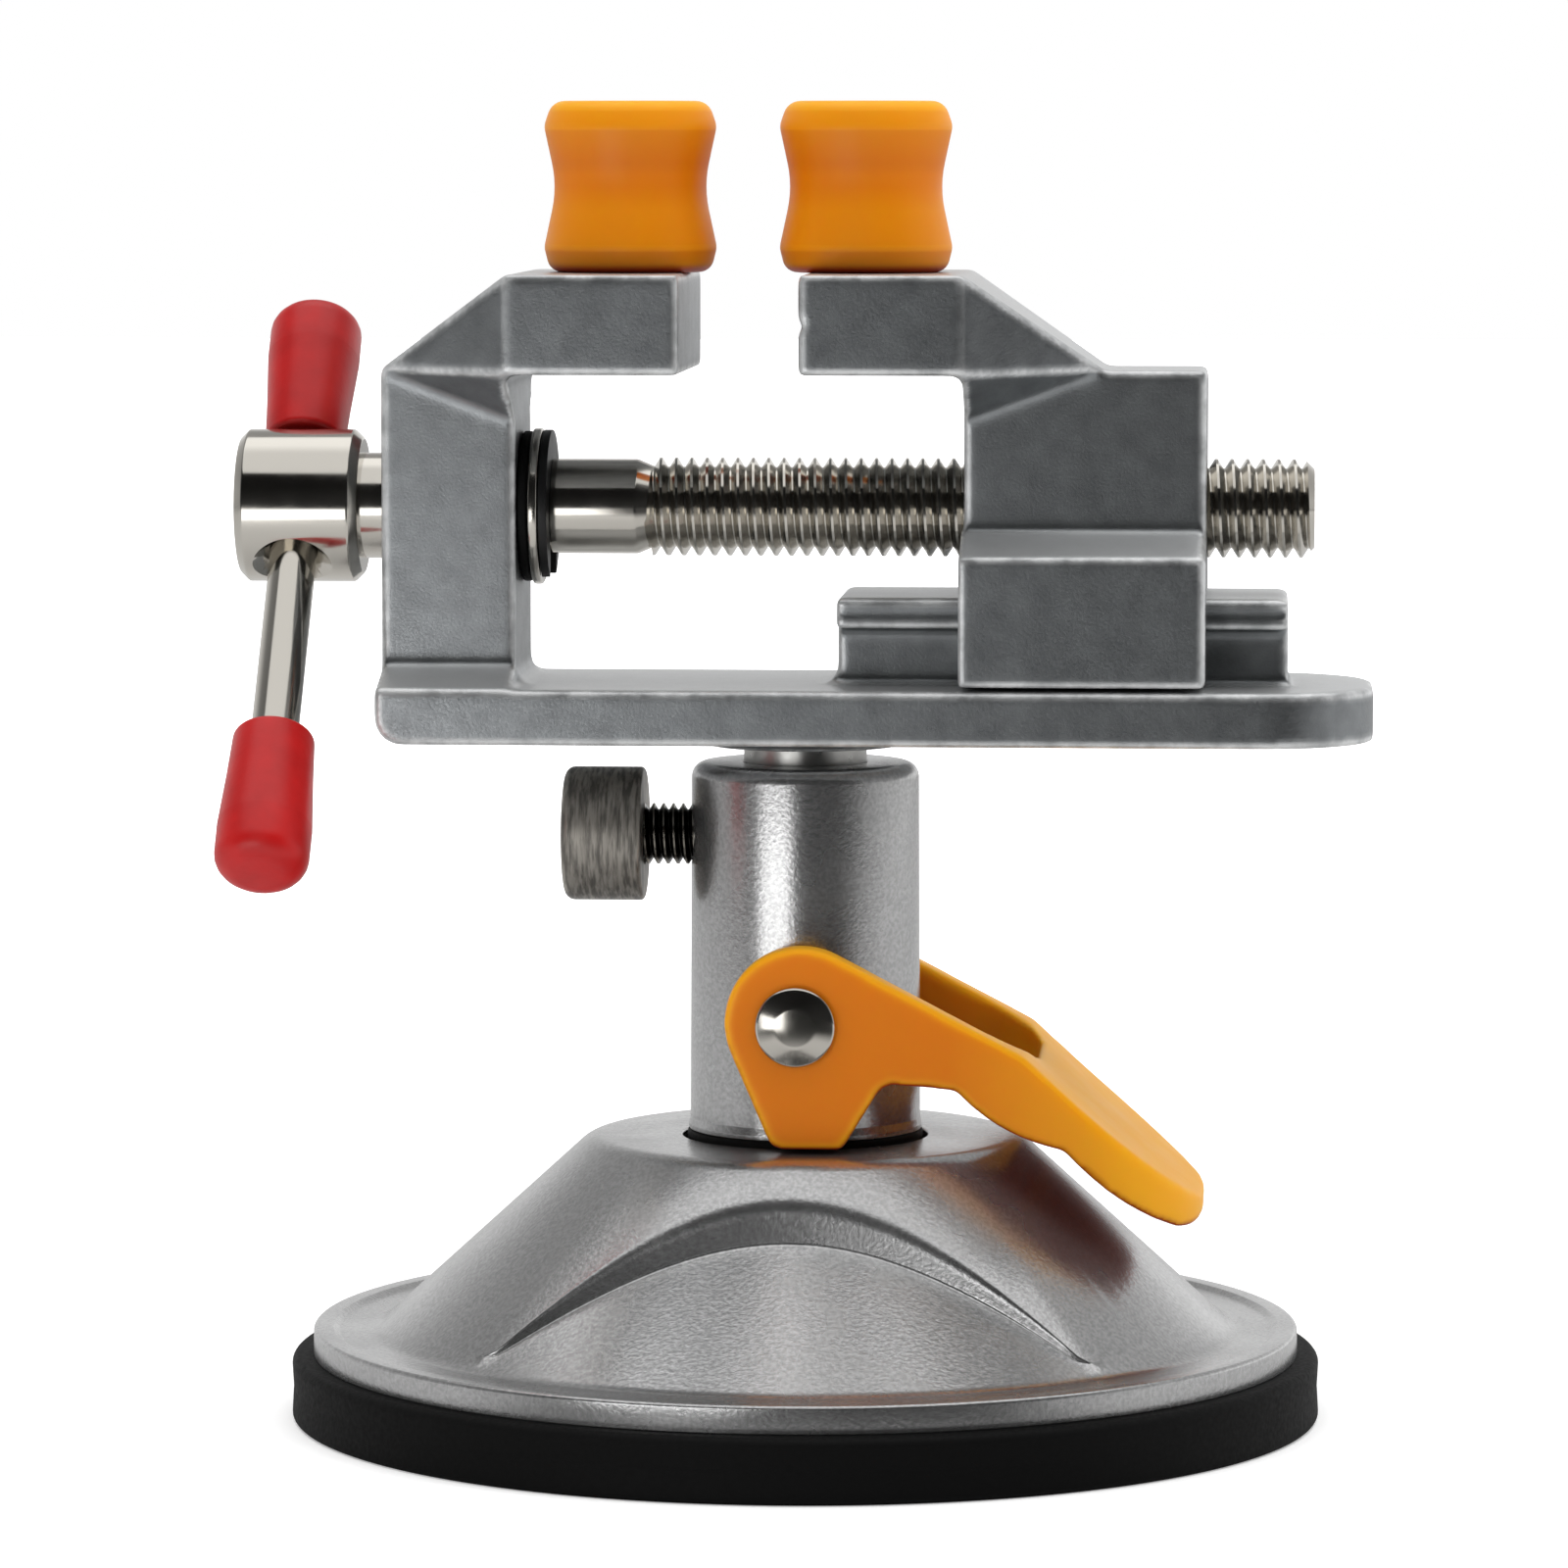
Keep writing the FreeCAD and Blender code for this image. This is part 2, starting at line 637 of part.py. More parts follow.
def vise_body():
    """Bar, fixed jaw, slide rail and boss, cast in one."""
    body = vise_bar()
    foot_top = bar_top_z + ledge_height
    boss_bottom = bar_bottom_z - boss_height
    body = body.fuse(rod(boss_radius, Z_AXIS * boss_bottom, Z_AXIS * bar_top_z))
    body = body.fuse(ledge(bar_left_x, upright_inner_x, bar_top_z, foot_top))
    body = body.fuse(block(bar_left_x, upright_inner_x, upright_half_width, bar_top_z,
                           arm_bottom_z - shoulder_drop))
    body = body.fuse(jaw_shoulder(bar_left_x, upright_inner_x, arm_root_x))
    body = body.fuse(block(arm_root_x, fixed_face_x, bar_half_width, arm_bottom_z, arm_top_z))
    body = body.fuse(mirrored_web(upright_inner_x, bar_top_z, upright_half_width))
    body = body.fuse(rail()).fuse(root_web(rail_left_x, bar_top_z, rail_neck_half_width))
    body = body.removeSplitter()
    journal = Vector(bar_left_x - cut_overrun, 0, screw_z)
    body = body.cut(rod(screw_radius + running_clearance, journal,
                        Vector(upright_inner_x + cut_overrun, 0, screw_z)))
    body = body.cut(rod(post_radius, Z_AXIS * (boss_bottom - cut_overrun),
                        Z_AXIS * (bar_bottom_z + post_grip)))
    return body.cut(peg_hole(fixed_pad_x))


def swivel_post():
    """Steel post in the boss that turns in the column's bore."""
    low = post_bore_z + post_tip_gap
    high = bar_bottom_z + post_grip
    corners = [(0, low, 0), (post_radius, low, post_tip_round), (post_radius, high, 0), (0, high, 0)]
    return turned(corners, Vector(), Z_AXIS)


def moving_jaw():
    """Jaw that slides on the rail, with its slot, nut bore and notched arm."""
    slot_floor = bar_top_z + slide_clearance
    body = block(moving_left_x, moving_right_x, bar_half_width, slot_floor, band_low_z)
    body = body.fuse(ledge(moving_left_x, moving_right_x, band_low_z, band_high_z))
    body = body.fuse(block(moving_body_x, moving_right_x, upright_half_width, band_low_z,
                           arm_bottom_z - shoulder_drop))
    body = body.fuse(block(moving_slope_x, moving_right_x, upright_half_width,
                           arm_bottom_z - shoulder_drop, jaw_shoulder_z))
    body = body.fuse(jaw_shoulder(moving_slope_x, moving_body_x, moving_root_x))
    body = body.fuse(block(moving_face_x, moving_root_x, bar_half_width, arm_bottom_z, arm_top_z))
    body = body.removeSplitter()
    start = moving_left_x - cut_overrun
    end = moving_right_x + cut_overrun
    body = body.cut(block(start, end, rail_neck_half_width + slide_clearance,
                          slot_floor - cut_overrun, rail_head_top_z))
    body = body.cut(block(start, end, rail_head_half_width + slide_clearance,
                          rail_head_bottom_z - slide_clearance, rail_head_top_z + slide_clearance))
    body = body.cut(rod(screw_radius + running_clearance, Vector(start, 0, screw_z),
                        Vector(end, 0, screw_z)))
    notch = [Vector(moving_face_x - notch_depth, -bar_half_width, notch_z + notch_depth + notch_depth),
             Vector(moving_face_x - notch_depth, -bar_half_width, notch_z - notch_depth - notch_depth),
             Vector(moving_face_x + notch_depth, -bar_half_width, notch_z)]
    groove = Part.Face(Part.makePolygon(notch + notch[:1]))
    body = body.cut(groove.extrude(Y_AXIS * (bar_half_width + bar_half_width)))
    return body.cut(peg_hole(moving_pad_x))


def lead_screw():
    """Screw with its drilled head, journal, ring groove and thread."""
    head_end = screw_head_x + screw_head_length
    collar_end = bar_left_x - axial_clearance
    corners = [(0, screw_head_x, 0), (screw_head_radius, screw_head_x, screw_head_chamfer),
               (screw_head_radius, head_end - screw_head_chamfer, 0),
               (screw_head_radius - screw_head_chamfer, head_end, 0),
               (screw_collar_radius, head_end, 0), (screw_collar_radius, collar_end, 0),
               (screw_radius, collar_end, 0), (screw_radius, ring_x, 0),
               (ring_groove_radius, ring_x, 0), (ring_groove_radius, ring_end_x, 0),
               (shank_radius, ring_end_x, 0), (shank_radius, thread_start_x, 0)]
    corners += shifted(threaded(screw_radius, screw_thread_depth, screw_pitch,
                                screw_end_x - thread_start_x), thread_start_x)
    body = turned(corners + [(0, screw_end_x, 0)], Z_AXIS * screw_z, X_AXIS)
    reach = tommy_direction * (screw_head_radius + cut_overrun)
    body = body.cut(rod(tommy_radius + running_clearance, tommy_centre - reach, tommy_centre + reach))
    sink_start = screw_head_radius - countersink_depth
    for side in (-1, 1):
        sink = Part.makeCone(tommy_radius, countersink_radius + cut_overrun,
                             countersink_radius - tommy_radius + cut_overrun,
                             tommy_centre + tommy_direction * (side * sink_start),
                             tommy_direction * side)
        body = body.cut(sink)
    return body


def washer(radius, start, thickness):
    """Flat washer on the screw's journal, between the fixed jaw and the retaining ring."""
    inner = screw_radius + running_clearance
    corners = [(inner, start, 0), (radius, start, 0),
               (radius, start + thickness, 0), (inner, start + thickness, 0)]
    return turned(corners, Z_AXIS * screw_z, X_AXIS)


def retaining_ring():
    """Snap ring in the screw's groove, open below."""
    corners = [(ring_groove_radius, ring_x, 0), (ring_radius, ring_x, 0),
               (ring_radius, ring_end_x, 0), (ring_groove_radius, ring_end_x, 0)]
    ring = turned(corners, Z_AXIS * screw_z, X_AXIS)
    mouth = Part.makeBox(ring_thickness + cut_overrun + cut_overrun,
                         ring_gap_half_width + ring_gap_half_width, ring_radius + cut_overrun,
                         Vector(ring_x - cut_overrun, -ring_gap_half_width,
                                screw_z - ring_radius - cut_overrun))
    return ring.cut(mouth)


def tommy_bar():
    """Bar that slides through the screw's head."""
    return rod(tommy_radius, tommy_centre - tommy_direction * (cap_lower_end - cap_wall),
               tommy_centre + tommy_direction * (cap_upper_end - cap_wall))


def bar_cap(end, side):
    """Soft cap over one end of the tommy bar."""
    mouth = end - cap_length
    corners = [(tommy_radius, mouth, 0), (cap_mouth_radius, mouth, cap_mouth_round),
               (cap_radius, end - cap_radius, 0), (cap_radius, end, cap_radius * cap_round_share),
               (0, end, 0), (0, end - cap_wall, 0), (tommy_radius, end - cap_wall, 0)]
    return turned(corners, tommy_centre, tommy_direction * side)


def jaw_pad(pad_x):
    """Waisted round pad on a jaw's arm, with a peg below."""
    ends = jaw_pad_radius - jaw_pad_round
    top = arm_top_z + jaw_pad_height
    bulge_low = arm_top_z + jaw_pad_round
    bulge_high = top - jaw_pad_round
    quarter = jaw_pad_round * (1 - math.sqrt(1 / 2))

    def place(radius, height):
        return Vector(pad_x + radius, 0, height)

    edges = [Part.LineSegment(place(0, arm_top_z - pad_peg_depth),
                              place(pad_peg_radius, arm_top_z - pad_peg_depth)),
             Part.LineSegment(place(pad_peg_radius, arm_top_z - pad_peg_depth),
                              place(pad_peg_radius, arm_top_z)),
             Part.LineSegment(place(pad_peg_radius, arm_top_z), place(ends, arm_top_z)),
             Part.Arc(place(ends, arm_top_z), place(jaw_pad_radius - quarter, arm_top_z + quarter),
                      place(jaw_pad_radius, bulge_low)),
             Part.Arc(place(jaw_pad_radius, bulge_low),
                      place(jaw_pad_radius - jaw_pad_waist, (bulge_low + bulge_high) / 2),
                      place(jaw_pad_radius, bulge_high)),
             Part.Arc(place(jaw_pad_radius, bulge_high),
                      place(jaw_pad_radius - quarter, top - quarter), place(ends, top)),
             Part.LineSegment(place(ends, top), place(0, top)),
             Part.LineSegment(place(0, top), place(0, arm_top_z - pad_peg_depth))]
    face = Part.Face(Part.Wire([edge.toShape() for edge in edges]))
    solid = face.revolve(Vector(pad_x, 0, 0), Z_AXIS, 360)
    if solid.Volume < 0:
        solid.reverse()
    return solid


os.makedirs("parts", exist_ok=True)
write("base_shell", base_shell())
write("suction_pad", suction_pad())
write("stud_plate", stud_plate())
write("pad_stud", pad_stud())
write("release_spring", release_spring())
write("column", column())
write("column_collar", column_collar())
write("lever", lever())
write("lever_pin", lever_pin())
write("clamp_knob", clamp_knob())
write("clamp_screw", clamp_screw())
write("vise_body", vise_body())
write("swivel_post", swivel_post())
write("moving_jaw", moving_jaw())
write("lead_screw", lead_screw())
write("fibre_washer", washer(fibre_washer_radius, fibre_washer_x, fibre_washer_thickness))
write("thrust_washer", washer(washer_radius, thrust_washer_x, washer_thickness))
write("retaining_ring", retaining_ring())
write("tommy_bar", tommy_bar())
write("bar_cap_upper", bar_cap(cap_upper_end, 1))
write("bar_cap_lower", bar_cap(cap_lower_end, -1))
write("jaw_pad_fixed", jaw_pad(fixed_pad_x))
write("jaw_pad_moving", jaw_pad(moving_pad_x))
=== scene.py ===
"""Looks of the suction base vise: castings, plated screw, amber pads and lever, red caps."""

import math

import bpy
from mathutils import Matrix, Vector


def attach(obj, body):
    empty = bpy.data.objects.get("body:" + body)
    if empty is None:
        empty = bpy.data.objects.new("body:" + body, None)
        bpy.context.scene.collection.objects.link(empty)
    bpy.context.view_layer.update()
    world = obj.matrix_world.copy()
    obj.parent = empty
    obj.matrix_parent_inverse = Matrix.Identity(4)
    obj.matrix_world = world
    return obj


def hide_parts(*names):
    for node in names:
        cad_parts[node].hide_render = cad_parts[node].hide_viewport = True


bl_info = {
    "name": "Suction base vise",
    "version": (1, 0, 0),
    "blender": (4, 5, 0),
    "location": "View3D > Sidebar > Vise",
    "description": "Models and dresses a small bench vise on a lever-locked suction foot",
    "category": "Object",
}

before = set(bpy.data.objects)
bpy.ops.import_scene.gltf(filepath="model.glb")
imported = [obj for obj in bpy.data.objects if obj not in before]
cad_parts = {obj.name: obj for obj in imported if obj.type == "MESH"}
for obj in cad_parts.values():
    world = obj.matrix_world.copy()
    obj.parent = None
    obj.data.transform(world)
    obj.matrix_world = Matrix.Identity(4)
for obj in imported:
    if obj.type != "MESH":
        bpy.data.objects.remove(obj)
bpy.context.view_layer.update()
MM = 0.001
X, Y, Z = Vector((1, 0, 0)), Vector((0, 1, 0)), Vector((0, 0, 1))
ORIGIN = Vector()
SCREW_Z = 74.2
CLAMP_Z = 47.5
PIVOT = Vector((0, 0, 33.3))
TOMMY_CENTRE = Vector((-41.4, 0, SCREW_Z))
TOMMY_TILT = math.radians(41.5)
TOMMY_WAY = Vector((0, math.sin(TOMMY_TILT), math.cos(TOMMY_TILT)))
FLANGE, CONE_FOOT, FLANGE_TOP, DOME_TOP = 40.2, 35.0, 7.1, 23.0


# Colours and nodes

def linear(colour):
    """Turn an sRGB hex colour into linear red, green, blue and alpha."""
    parts = [int(colour[place:place + 2], 16) / 255 for place in (1, 3, 5)]
    return tuple(part / 12.92 if part <= 0.04045 else ((part + 0.055) / 1.055) ** 2.4
                 for part in parts) + (1.0,)


def add(tree, kind, inputs=None, **settings):
    """Add one node, with its settings, and fill or link its inputs."""
    node = tree.nodes.new(kind)
    for setting, value in settings.items():
        setattr(node, setting, value)
    for socket, value in (inputs or {}).items():
        if isinstance(value, bpy.types.NodeSocket):
            tree.links.new(value, node.inputs[socket])
        else:
            node.inputs[socket].default_value = value
    return node


def material(name):
    """Return a new material's node tree with its shader and its object coordinates."""
    made = bpy.data.materials.new(name)
    made.use_nodes = True
    tree = made.node_tree
    shader = tree.nodes["Principled BSDF"]
    place = add(tree, "ShaderNodeTexCoord").outputs["Object"]
    return made, tree, shader, place


def grain(tree, place, size, detail=3.0, stretch=(1, 1, 1), turn=(0, 0, 0)):
    """Return noise whose spots are about size millimetres wide."""
    spread = add(tree, "ShaderNodeMapping", {"Vector": place, "Scale": stretch, "Rotation": turn})
    noise = add(tree, "ShaderNodeTexNoise",
                {"Vector": spread.outputs["Vector"], "Scale": 1 / (size * MM), "Detail": detail,
                 "Roughness": 0.55})
    return noise.outputs["Fac"]


def ramp(tree, factor, low, high, start, end):
    """Return factor stretched so that low gives start and high gives end."""
    return add(tree, "ShaderNodeMapRange", {"Value": factor, "From Min": low, "From Max": high,
                                            "To Min": start, "To Max": end}).outputs["Result"]


def shade(colour, factor):
    """Make a linear colour darker or lighter."""
    return tuple(min(part * factor, 1.0) for part in colour[:3]) + (1.0,)


def blended(tree, factor, first, second):
    """Return a colour between two linear colours or sockets."""
    return add(tree, "ShaderNodeMix", {0: factor, 6: first, 7: second}, data_type="RGBA").outputs[2]


def relief(tree, shader, height, distance, strength=1.0):
    """Raise the shader's surface by height, which is distance millimetres at 1."""
    bump = add(tree, "ShaderNodeBump", {"Height": height, "Distance": distance * MM,
                                        "Strength": strength})
    tree.links.new(bump.outputs["Normal"], shader.inputs["Normal"])


def set_shader(tree, shader, **values):
    """Set the shader's inputs by name, with underscores for spaces."""
    for name, value in values.items():
        socket = shader.inputs[name.replace("_", " ")]
        if isinstance(value, bpy.types.NodeSocket):
            tree.links.new(value, socket)
        else:
            socket.default_value = value


def colour(name):
    """Return one of the scene's finish colours."""
    return tuple(getattr(bpy.context.scene.vise_colours, name))


def once(maker):
    """Return the maker's material, made the first time that it is asked for."""
    return bpy.data.materials.get(maker.__name__) or maker()


def bend_of(tree):
    """Return how far the surface bends outwards, as marked on the piece: 0 where it is flat."""
    return add(tree, "ShaderNodeAttribute", attribute_name="bend").outputs["Fac"]


def facing_up(tree):
    """Return how far the surface faces upwards, from -1 to 1."""
    normal = add(tree, "ShaderNodeTexCoord").outputs["Normal"]
    return add(tree, "ShaderNodeSeparateXYZ", {"Vector": normal}).outputs["Z"]


def worked(tree, operation, first, second):
    """Return the result of one sum on two numbers or sockets."""
    return add(tree, "ShaderNodeMath", {0: first, 1: second}, operation=operation).outputs[0]


def satin_silver_paint():
    """Silver stoved paint with fine flake: a soft mirror broken up by a sandy grain."""
    made, tree, shader, place = material("satin_silver_paint")
    sand = grain(tree, place, 0.34, 2.0)
    cloud = grain(tree, place, 9.0)
    paint = colour("paint")
    tint = blended(tree, ramp(tree, sand, 0.36, 0.64, 0.0, 1.0), shade(paint, 0.86), shade(paint, 1.1))
    set_shader(tree, shader, Base_Color=tint, Metallic=0.92,
               Roughness=ramp(tree, cloud, 0.3, 0.7, 0.22, 0.3))
    relief(tree, shader, sand, 0.03, 0.6)
    return made


def tumbled_zinc_casting():
    """Tumbled zinc casting: dark mottled skin, rubbed bright on its edges with a painted highlight along
    them, and painted light on its top faces.
    """
    made, tree, shader, place = material("tumbled_zinc_casting")
    skin = grain(tree, place, 2.2, 6.0)
    pits = grain(tree, place, 0.22, 3.0)
    alloy = colour("casting")
    mottle = blended(tree, ramp(tree, skin, 0.3, 0.7, 0.0, 1.0), shade(alloy, 0.84), shade(alloy, 1.12))
    # Edges take the bright colour: rubbed wear, with a painted highlight along them as well.
    edge = worked(tree, "MULTIPLY", ramp(tree, bend_of(tree), 0.05, 0.35, 0.0, 0.8),
                  ramp(tree, skin, 0.35, 0.6, 0.5, 1.0))
    # Painted light: faces that point upwards take the bright colour, as if lit from above.
    top = ramp(tree, facing_up(tree), 0.5, 0.85, 0.0, 0.6)
    reach = worked(tree, "MAXIMUM", edge, top)
    set_shader(tree, shader, Base_Color=blended(tree, reach, mottle, colour("worn_edge")),
               Metallic=ramp(tree, reach, 0.0, 1.0, 0.95, 0.45),
               Roughness=ramp(tree, pits, 0.3, 0.7, 0.32, 0.42))
    relief(tree, shader, pits, 0.03, 0.5)
    return made


def bright_nickel_plate():
    """Bright nickel plate over turned steel: near mirror, softly wiped."""
    made, tree, shader, place = material("bright_nickel_plate")
    wipe = grain(tree, place, 3.0)
    set_shader(tree, shader, Base_Color=colour("nickel"), Metallic=1.0,
               Roughness=ramp(tree, wipe, 0.3, 0.7, 0.1, 0.17))
    return made


def oiled_dark_steel():
    """Rolled threads: painted shade makes the roots nearly black, and a painted highlight lightens the
    crests.
    """
    made, tree, shader, place = material("oiled_dark_steel")
    oil = grain(tree, place, 1.5)
    # Painted shade in the thread roots and a painted glint on the crests, set by how far the surface
    # bends.
    tint = blended(tree, ramp(tree, bend_of(tree), 0.5, 0.95, 0.0, 1.0), linear("#242321"),
                   linear("#827e76"))
    set_shader(tree, shader, Base_Color=tint, Metallic=1.0,
               Roughness=ramp(tree, oil, 0.3, 0.7, 0.18, 0.28))
    return made


def blackened_spring_steel():
    """Blackened spring steel: an even black skin with a dull sheen."""
    made, tree, shader, place = material("blackened_spring_steel")
    set_shader(tree, shader, Base_Color=linear("#101011"), Metallic=0.3,
               Roughness=ramp(tree, grain(tree, place, 1.0), 0.3, 0.7, 0.4, 0.5))
    return made


def plain_turned_steel():
    """Turned plain steel: grey with a soft shine."""
    made, tree, shader, place = material("plain_turned_steel")
    set_shader(tree, shader, Base_Color=linear("#b4b3b0"), Metallic=1.0,
               Roughness=ramp(tree, grain(tree, place, 1.2), 0.3, 0.7, 0.26, 0.36))
    return made


def coarsely_brushed_zinc():
    """Knob of coarsely brushed zinc: slanting scratches in a warm grey."""
    made, tree, shader, place = material("coarsely_brushed_zinc")
    scratch = grain(tree, place, 1.6, 5.0, (5.0, 1.0, 0.5), (0, math.radians(-52), 0))
    zinc = linear("#8f8b84")
    tint = blended(tree, ramp(tree, scratch, 0.4, 0.6, 0.0, 1.0), shade(zinc, 0.5), shade(zinc, 1.3))
    set_shader(tree, shader, Base_Color=tint, Metallic=0.7, Roughness=0.42)
    relief(tree, shader, scratch, 0.08, 0.6)
    return made


def moulded_amber_urethane():
    """Moulded amber polyurethane: deep orange, with painted light in a pale yellow on top, at its edges
    and where it is thin, and painted shade in red-brown below.
    """
    made, tree, shader, place = material("moulded_amber_urethane")
    cloud = grain(tree, place, 5.0, 2.0)
    way = facing_up(tree)
    amber, honey = colour("amber"), colour("honey")
    # Painted light: the pale yellow goes on the thin paddle further along X, on bent edges and on faces
    # that point up.
    thin = ramp(tree, add(tree, "ShaderNodeSeparateXYZ", {"Vector": place}).outputs["X"],
                0.012, 0.027, 0.0, 1.0)
    edge = ramp(tree, bend_of(tree), 0.02, 0.25, 0.0, 0.8)
    glow = worked(tree, "MAXIMUM", worked(tree, "MAXIMUM", edge, thin),
                  ramp(tree, way, 0.0, 0.75, 0.0, 1.0))
    lit = blended(tree, glow, amber, honey)
    # Painted shade: faces that point downwards turn red-brown.
    tint = blended(tree, ramp(tree, way, -0.75, -0.1, 0.0, 1.0), colour("amber_below"), lit)
    set_shader(tree, shader, Base_Color=tint, Roughness=ramp(tree, cloud, 0.3, 0.7, 0.38, 0.48),
               Specular_IOR_Level=0.2, Subsurface_Weight=0.35, Subsurface_Radius=(1.0, 0.4, 0.05),
               Subsurface_Scale=2.0 * MM)
    relief(tree, shader, grain(tree, place, 1.4), 0.02, 0.5)
    return made


def dipped_red_vinyl():
    """Dipped red vinyl: soft, evenly coloured, with a satin shine."""
    made, tree, shader, place = material("dipped_red_vinyl")
    cloud = grain(tree, place, 3.0)
    vinyl = colour("vinyl")
    tint = blended(tree, ramp(tree, cloud, 0.3, 0.7, 0.0, 1.0), shade(vinyl, 0.9), shade(vinyl, 1.1))
    set_shader(tree, shader, Base_Color=tint, Roughness=0.36, Specular_IOR_Level=0.35,
               Subsurface_Weight=0.08, Subsurface_Radius=(1.0, 0.2, 0.15),
               Subsurface_Scale=0.8 * MM)
    relief(tree, shader, grain(tree, place, 0.5), 0.02, 0.6)
    return made


def moulded_black_rubber():
    """Moulded black rubber: matte, with the mould's faint grain."""
    made, tree, shader, place = material("moulded_black_rubber")
    skin = grain(tree, place, 0.4, 4.0)
    set_shader(tree, shader, Base_Color=colour("rubber"), Specular_IOR_Level=0.1,
               Roughness=ramp(tree, skin, 0.3, 0.7, 0.55, 0.7))
    relief(tree, shader, skin, 0.02, 0.5)
    return made


# Modelling helpers. Outlines are in millimetres.

def nothing_selected():
    """Leave edit mode and deselect everything."""
    if bpy.context.object and bpy.context.object.mode != "OBJECT":
        bpy.ops.object.mode_set(mode="OBJECT")
    bpy.ops.object.select_all(action="DESELECT")


def edit_all():
    """Enter edit mode with the whole mesh selected."""
    bpy.ops.object.mode_set(mode="EDIT")
    bpy.ops.mesh.select_all(action="SELECT")


def close_up(threshold=0.001):
    """Merge doubles and turn the faces outwards, from edit mode."""
    bpy.ops.mesh.select_all(action="SELECT")
    bpy.ops.mesh.remove_doubles(threshold=threshold * MM)
    bpy.ops.mesh.normals_make_consistent(inside=False)
    bpy.ops.object.mode_set(mode="OBJECT")


def rounded(corners, closed=False, count=6):
    """Return the points of an outline whose corners of (point, radius) are rounded."""
    points = []
    for index, (point, radius) in enumerate(corners):
        inner = closed or 0 < index < len(corners) - 1
        if radius == 0 or not inner:
            points.append(point)
            continue
        back = corners[index - 1][0] - point
        ahead = corners[(index + 1) % len(corners)][0] - point
        half = max(back.angle(ahead) / 2, 0.01)
        reach = min(radius / math.tan(half), back.length * 0.49, ahead.length * 0.49)
        start, end = point + back.normalized() * reach, point + ahead.normalized() * reach
        centre = point + (back.normalized() + ahead.normalized()).normalized() * (reach / math.cos(half))
        for step in range(count + 1):
            spot = (start - centre).lerp(end - centre, step / count)
            length = (start - centre).length
            share = step / count
            swing = (start - centre).angle(end - centre, 0)
            if swing > 1e-6:
                spot = ((start - centre) * math.sin((1 - share) * swing)
                        + (end - centre) * math.sin(share * swing)) / math.sin(swing)
            points.append(centre + spot.normalized() * length)
    return points


def bow(first, middle, last, count):
    """Return points on the arc through three points, without the last."""
    a, b = middle - first, last - first
    normal = a.cross(b)
    centre = first + (b.length_squared * normal.cross(a)
                      - a.length_squared * normal.cross(b)) / (2 * normal.length_squared)
    start = first - centre
    turn = start.angle(middle - centre) + (middle - centre).angle(last - centre)
    axis = start.cross(middle - centre).normalized()
    return [centre + Matrix.Rotation(turn * step / count, 3, axis) @ start for step in range(count)]


def drawn(name, points, closed=False):
    """Draw a line through the points, vertex by vertex, and stay in edit mode."""
    nothing_selected()
    bpy.ops.mesh.primitive_plane_add(size=MM, location=(0, 0, 0))
    piece = bpy.context.object
    piece.name = name
    edit_all()
    bpy.ops.mesh.merge(type="CENTER")
    bpy.ops.transform.translate(value=points[0] * MM)
    following = points[1:] + (points[:1] if closed else [])
    for start, end in zip(points, following):
        bpy.ops.mesh.extrude_vertices_move(TRANSFORM_OT_translate={"value": (end - start) * MM})
    bpy.ops.mesh.select_all(action="SELECT")
    return piece


def outline_points(corners, centre, axis, closed=False):
    """Return the rounded outline of (radius, distance, rounding) corners beside an axis."""
    side = Z if axis == X else X
    places = [(centre + side * radius + axis * distance, bend) for radius, distance, bend in corners]
    return rounded(places, closed)


def turned(name, corners, centre=ORIGIN, axis=Z, closed=False, steps=96):
    """Spin an outline of (radius, distance, rounding) corners round an axis."""
    piece = drawn(name, outline_points(corners, centre, axis, closed), closed)
    bpy.ops.mesh.spin(steps=steps, angle=math.tau, center=centre * MM, axis=axis)
    close_up()
    return piece


def slab(name, points, across):
    """Fill a closed outline and extrude it across."""
    piece = drawn(name, points, closed=True)
    bpy.ops.mesh.remove_doubles(threshold=0.001 * MM)
    bpy.ops.mesh.edge_face_add()
    bpy.ops.mesh.extrude_region_move(TRANSFORM_OT_translate={"value": across * MM})
    close_up()
    return piece


def combined(piece, other, operation):
    """Cut, join or keep the common part with another piece, which is used up."""
    nothing_selected()
    bpy.context.view_layer.objects.active = piece
    piece.select_set(True)
    modifier = piece.modifiers.new("join", "BOOLEAN")
    modifier.operation = operation
    modifier.solver = "EXACT"
    modifier.object = other
    bpy.ops.object.modifier_apply(modifier=modifier.name)
    bpy.data.objects.remove(other)
    return piece


def drilled(piece, radius, start, end):
    """Drill a round hole from one point to another."""
    side = (end - start).normalized()
    bit = turned("bit", [(0, 0, 0), (radius, 0, 0), (radius, (end - start).length, 0),
                         (0, (end - start).length, 0)], start, side, steps=64)
    return combined(piece, bit, "DIFFERENCE")


def modified(piece, kind, **settings):
    """Apply one modifier to a piece."""
    nothing_selected()
    bpy.context.view_layer.objects.active = piece
    piece.select_set(True)
    modifier = piece.modifiers.new("shape", kind)
    for setting, value in settings.items():
        setattr(modifier, setting, value)
    bpy.ops.object.modifier_apply(modifier=modifier.name)
    return piece


def joined(piece, *others):
    """Join other pieces into one piece."""
    nothing_selected()
    for other in others:
        other.select_set(True)
    piece.select_set(True)
    bpy.context.view_layer.objects.active = piece
    bpy.ops.object.join()
    return piece


def copied(piece, name):
    """Copy a piece with its own mesh and leave the copy in edit mode, all selected."""
    nothing_selected()
    piece.select_set(True)
    bpy.context.view_layer.objects.active = piece
    bpy.ops.object.duplicate()
    copy = bpy.context.object
    copy.name = name
    edit_all()
    return copy


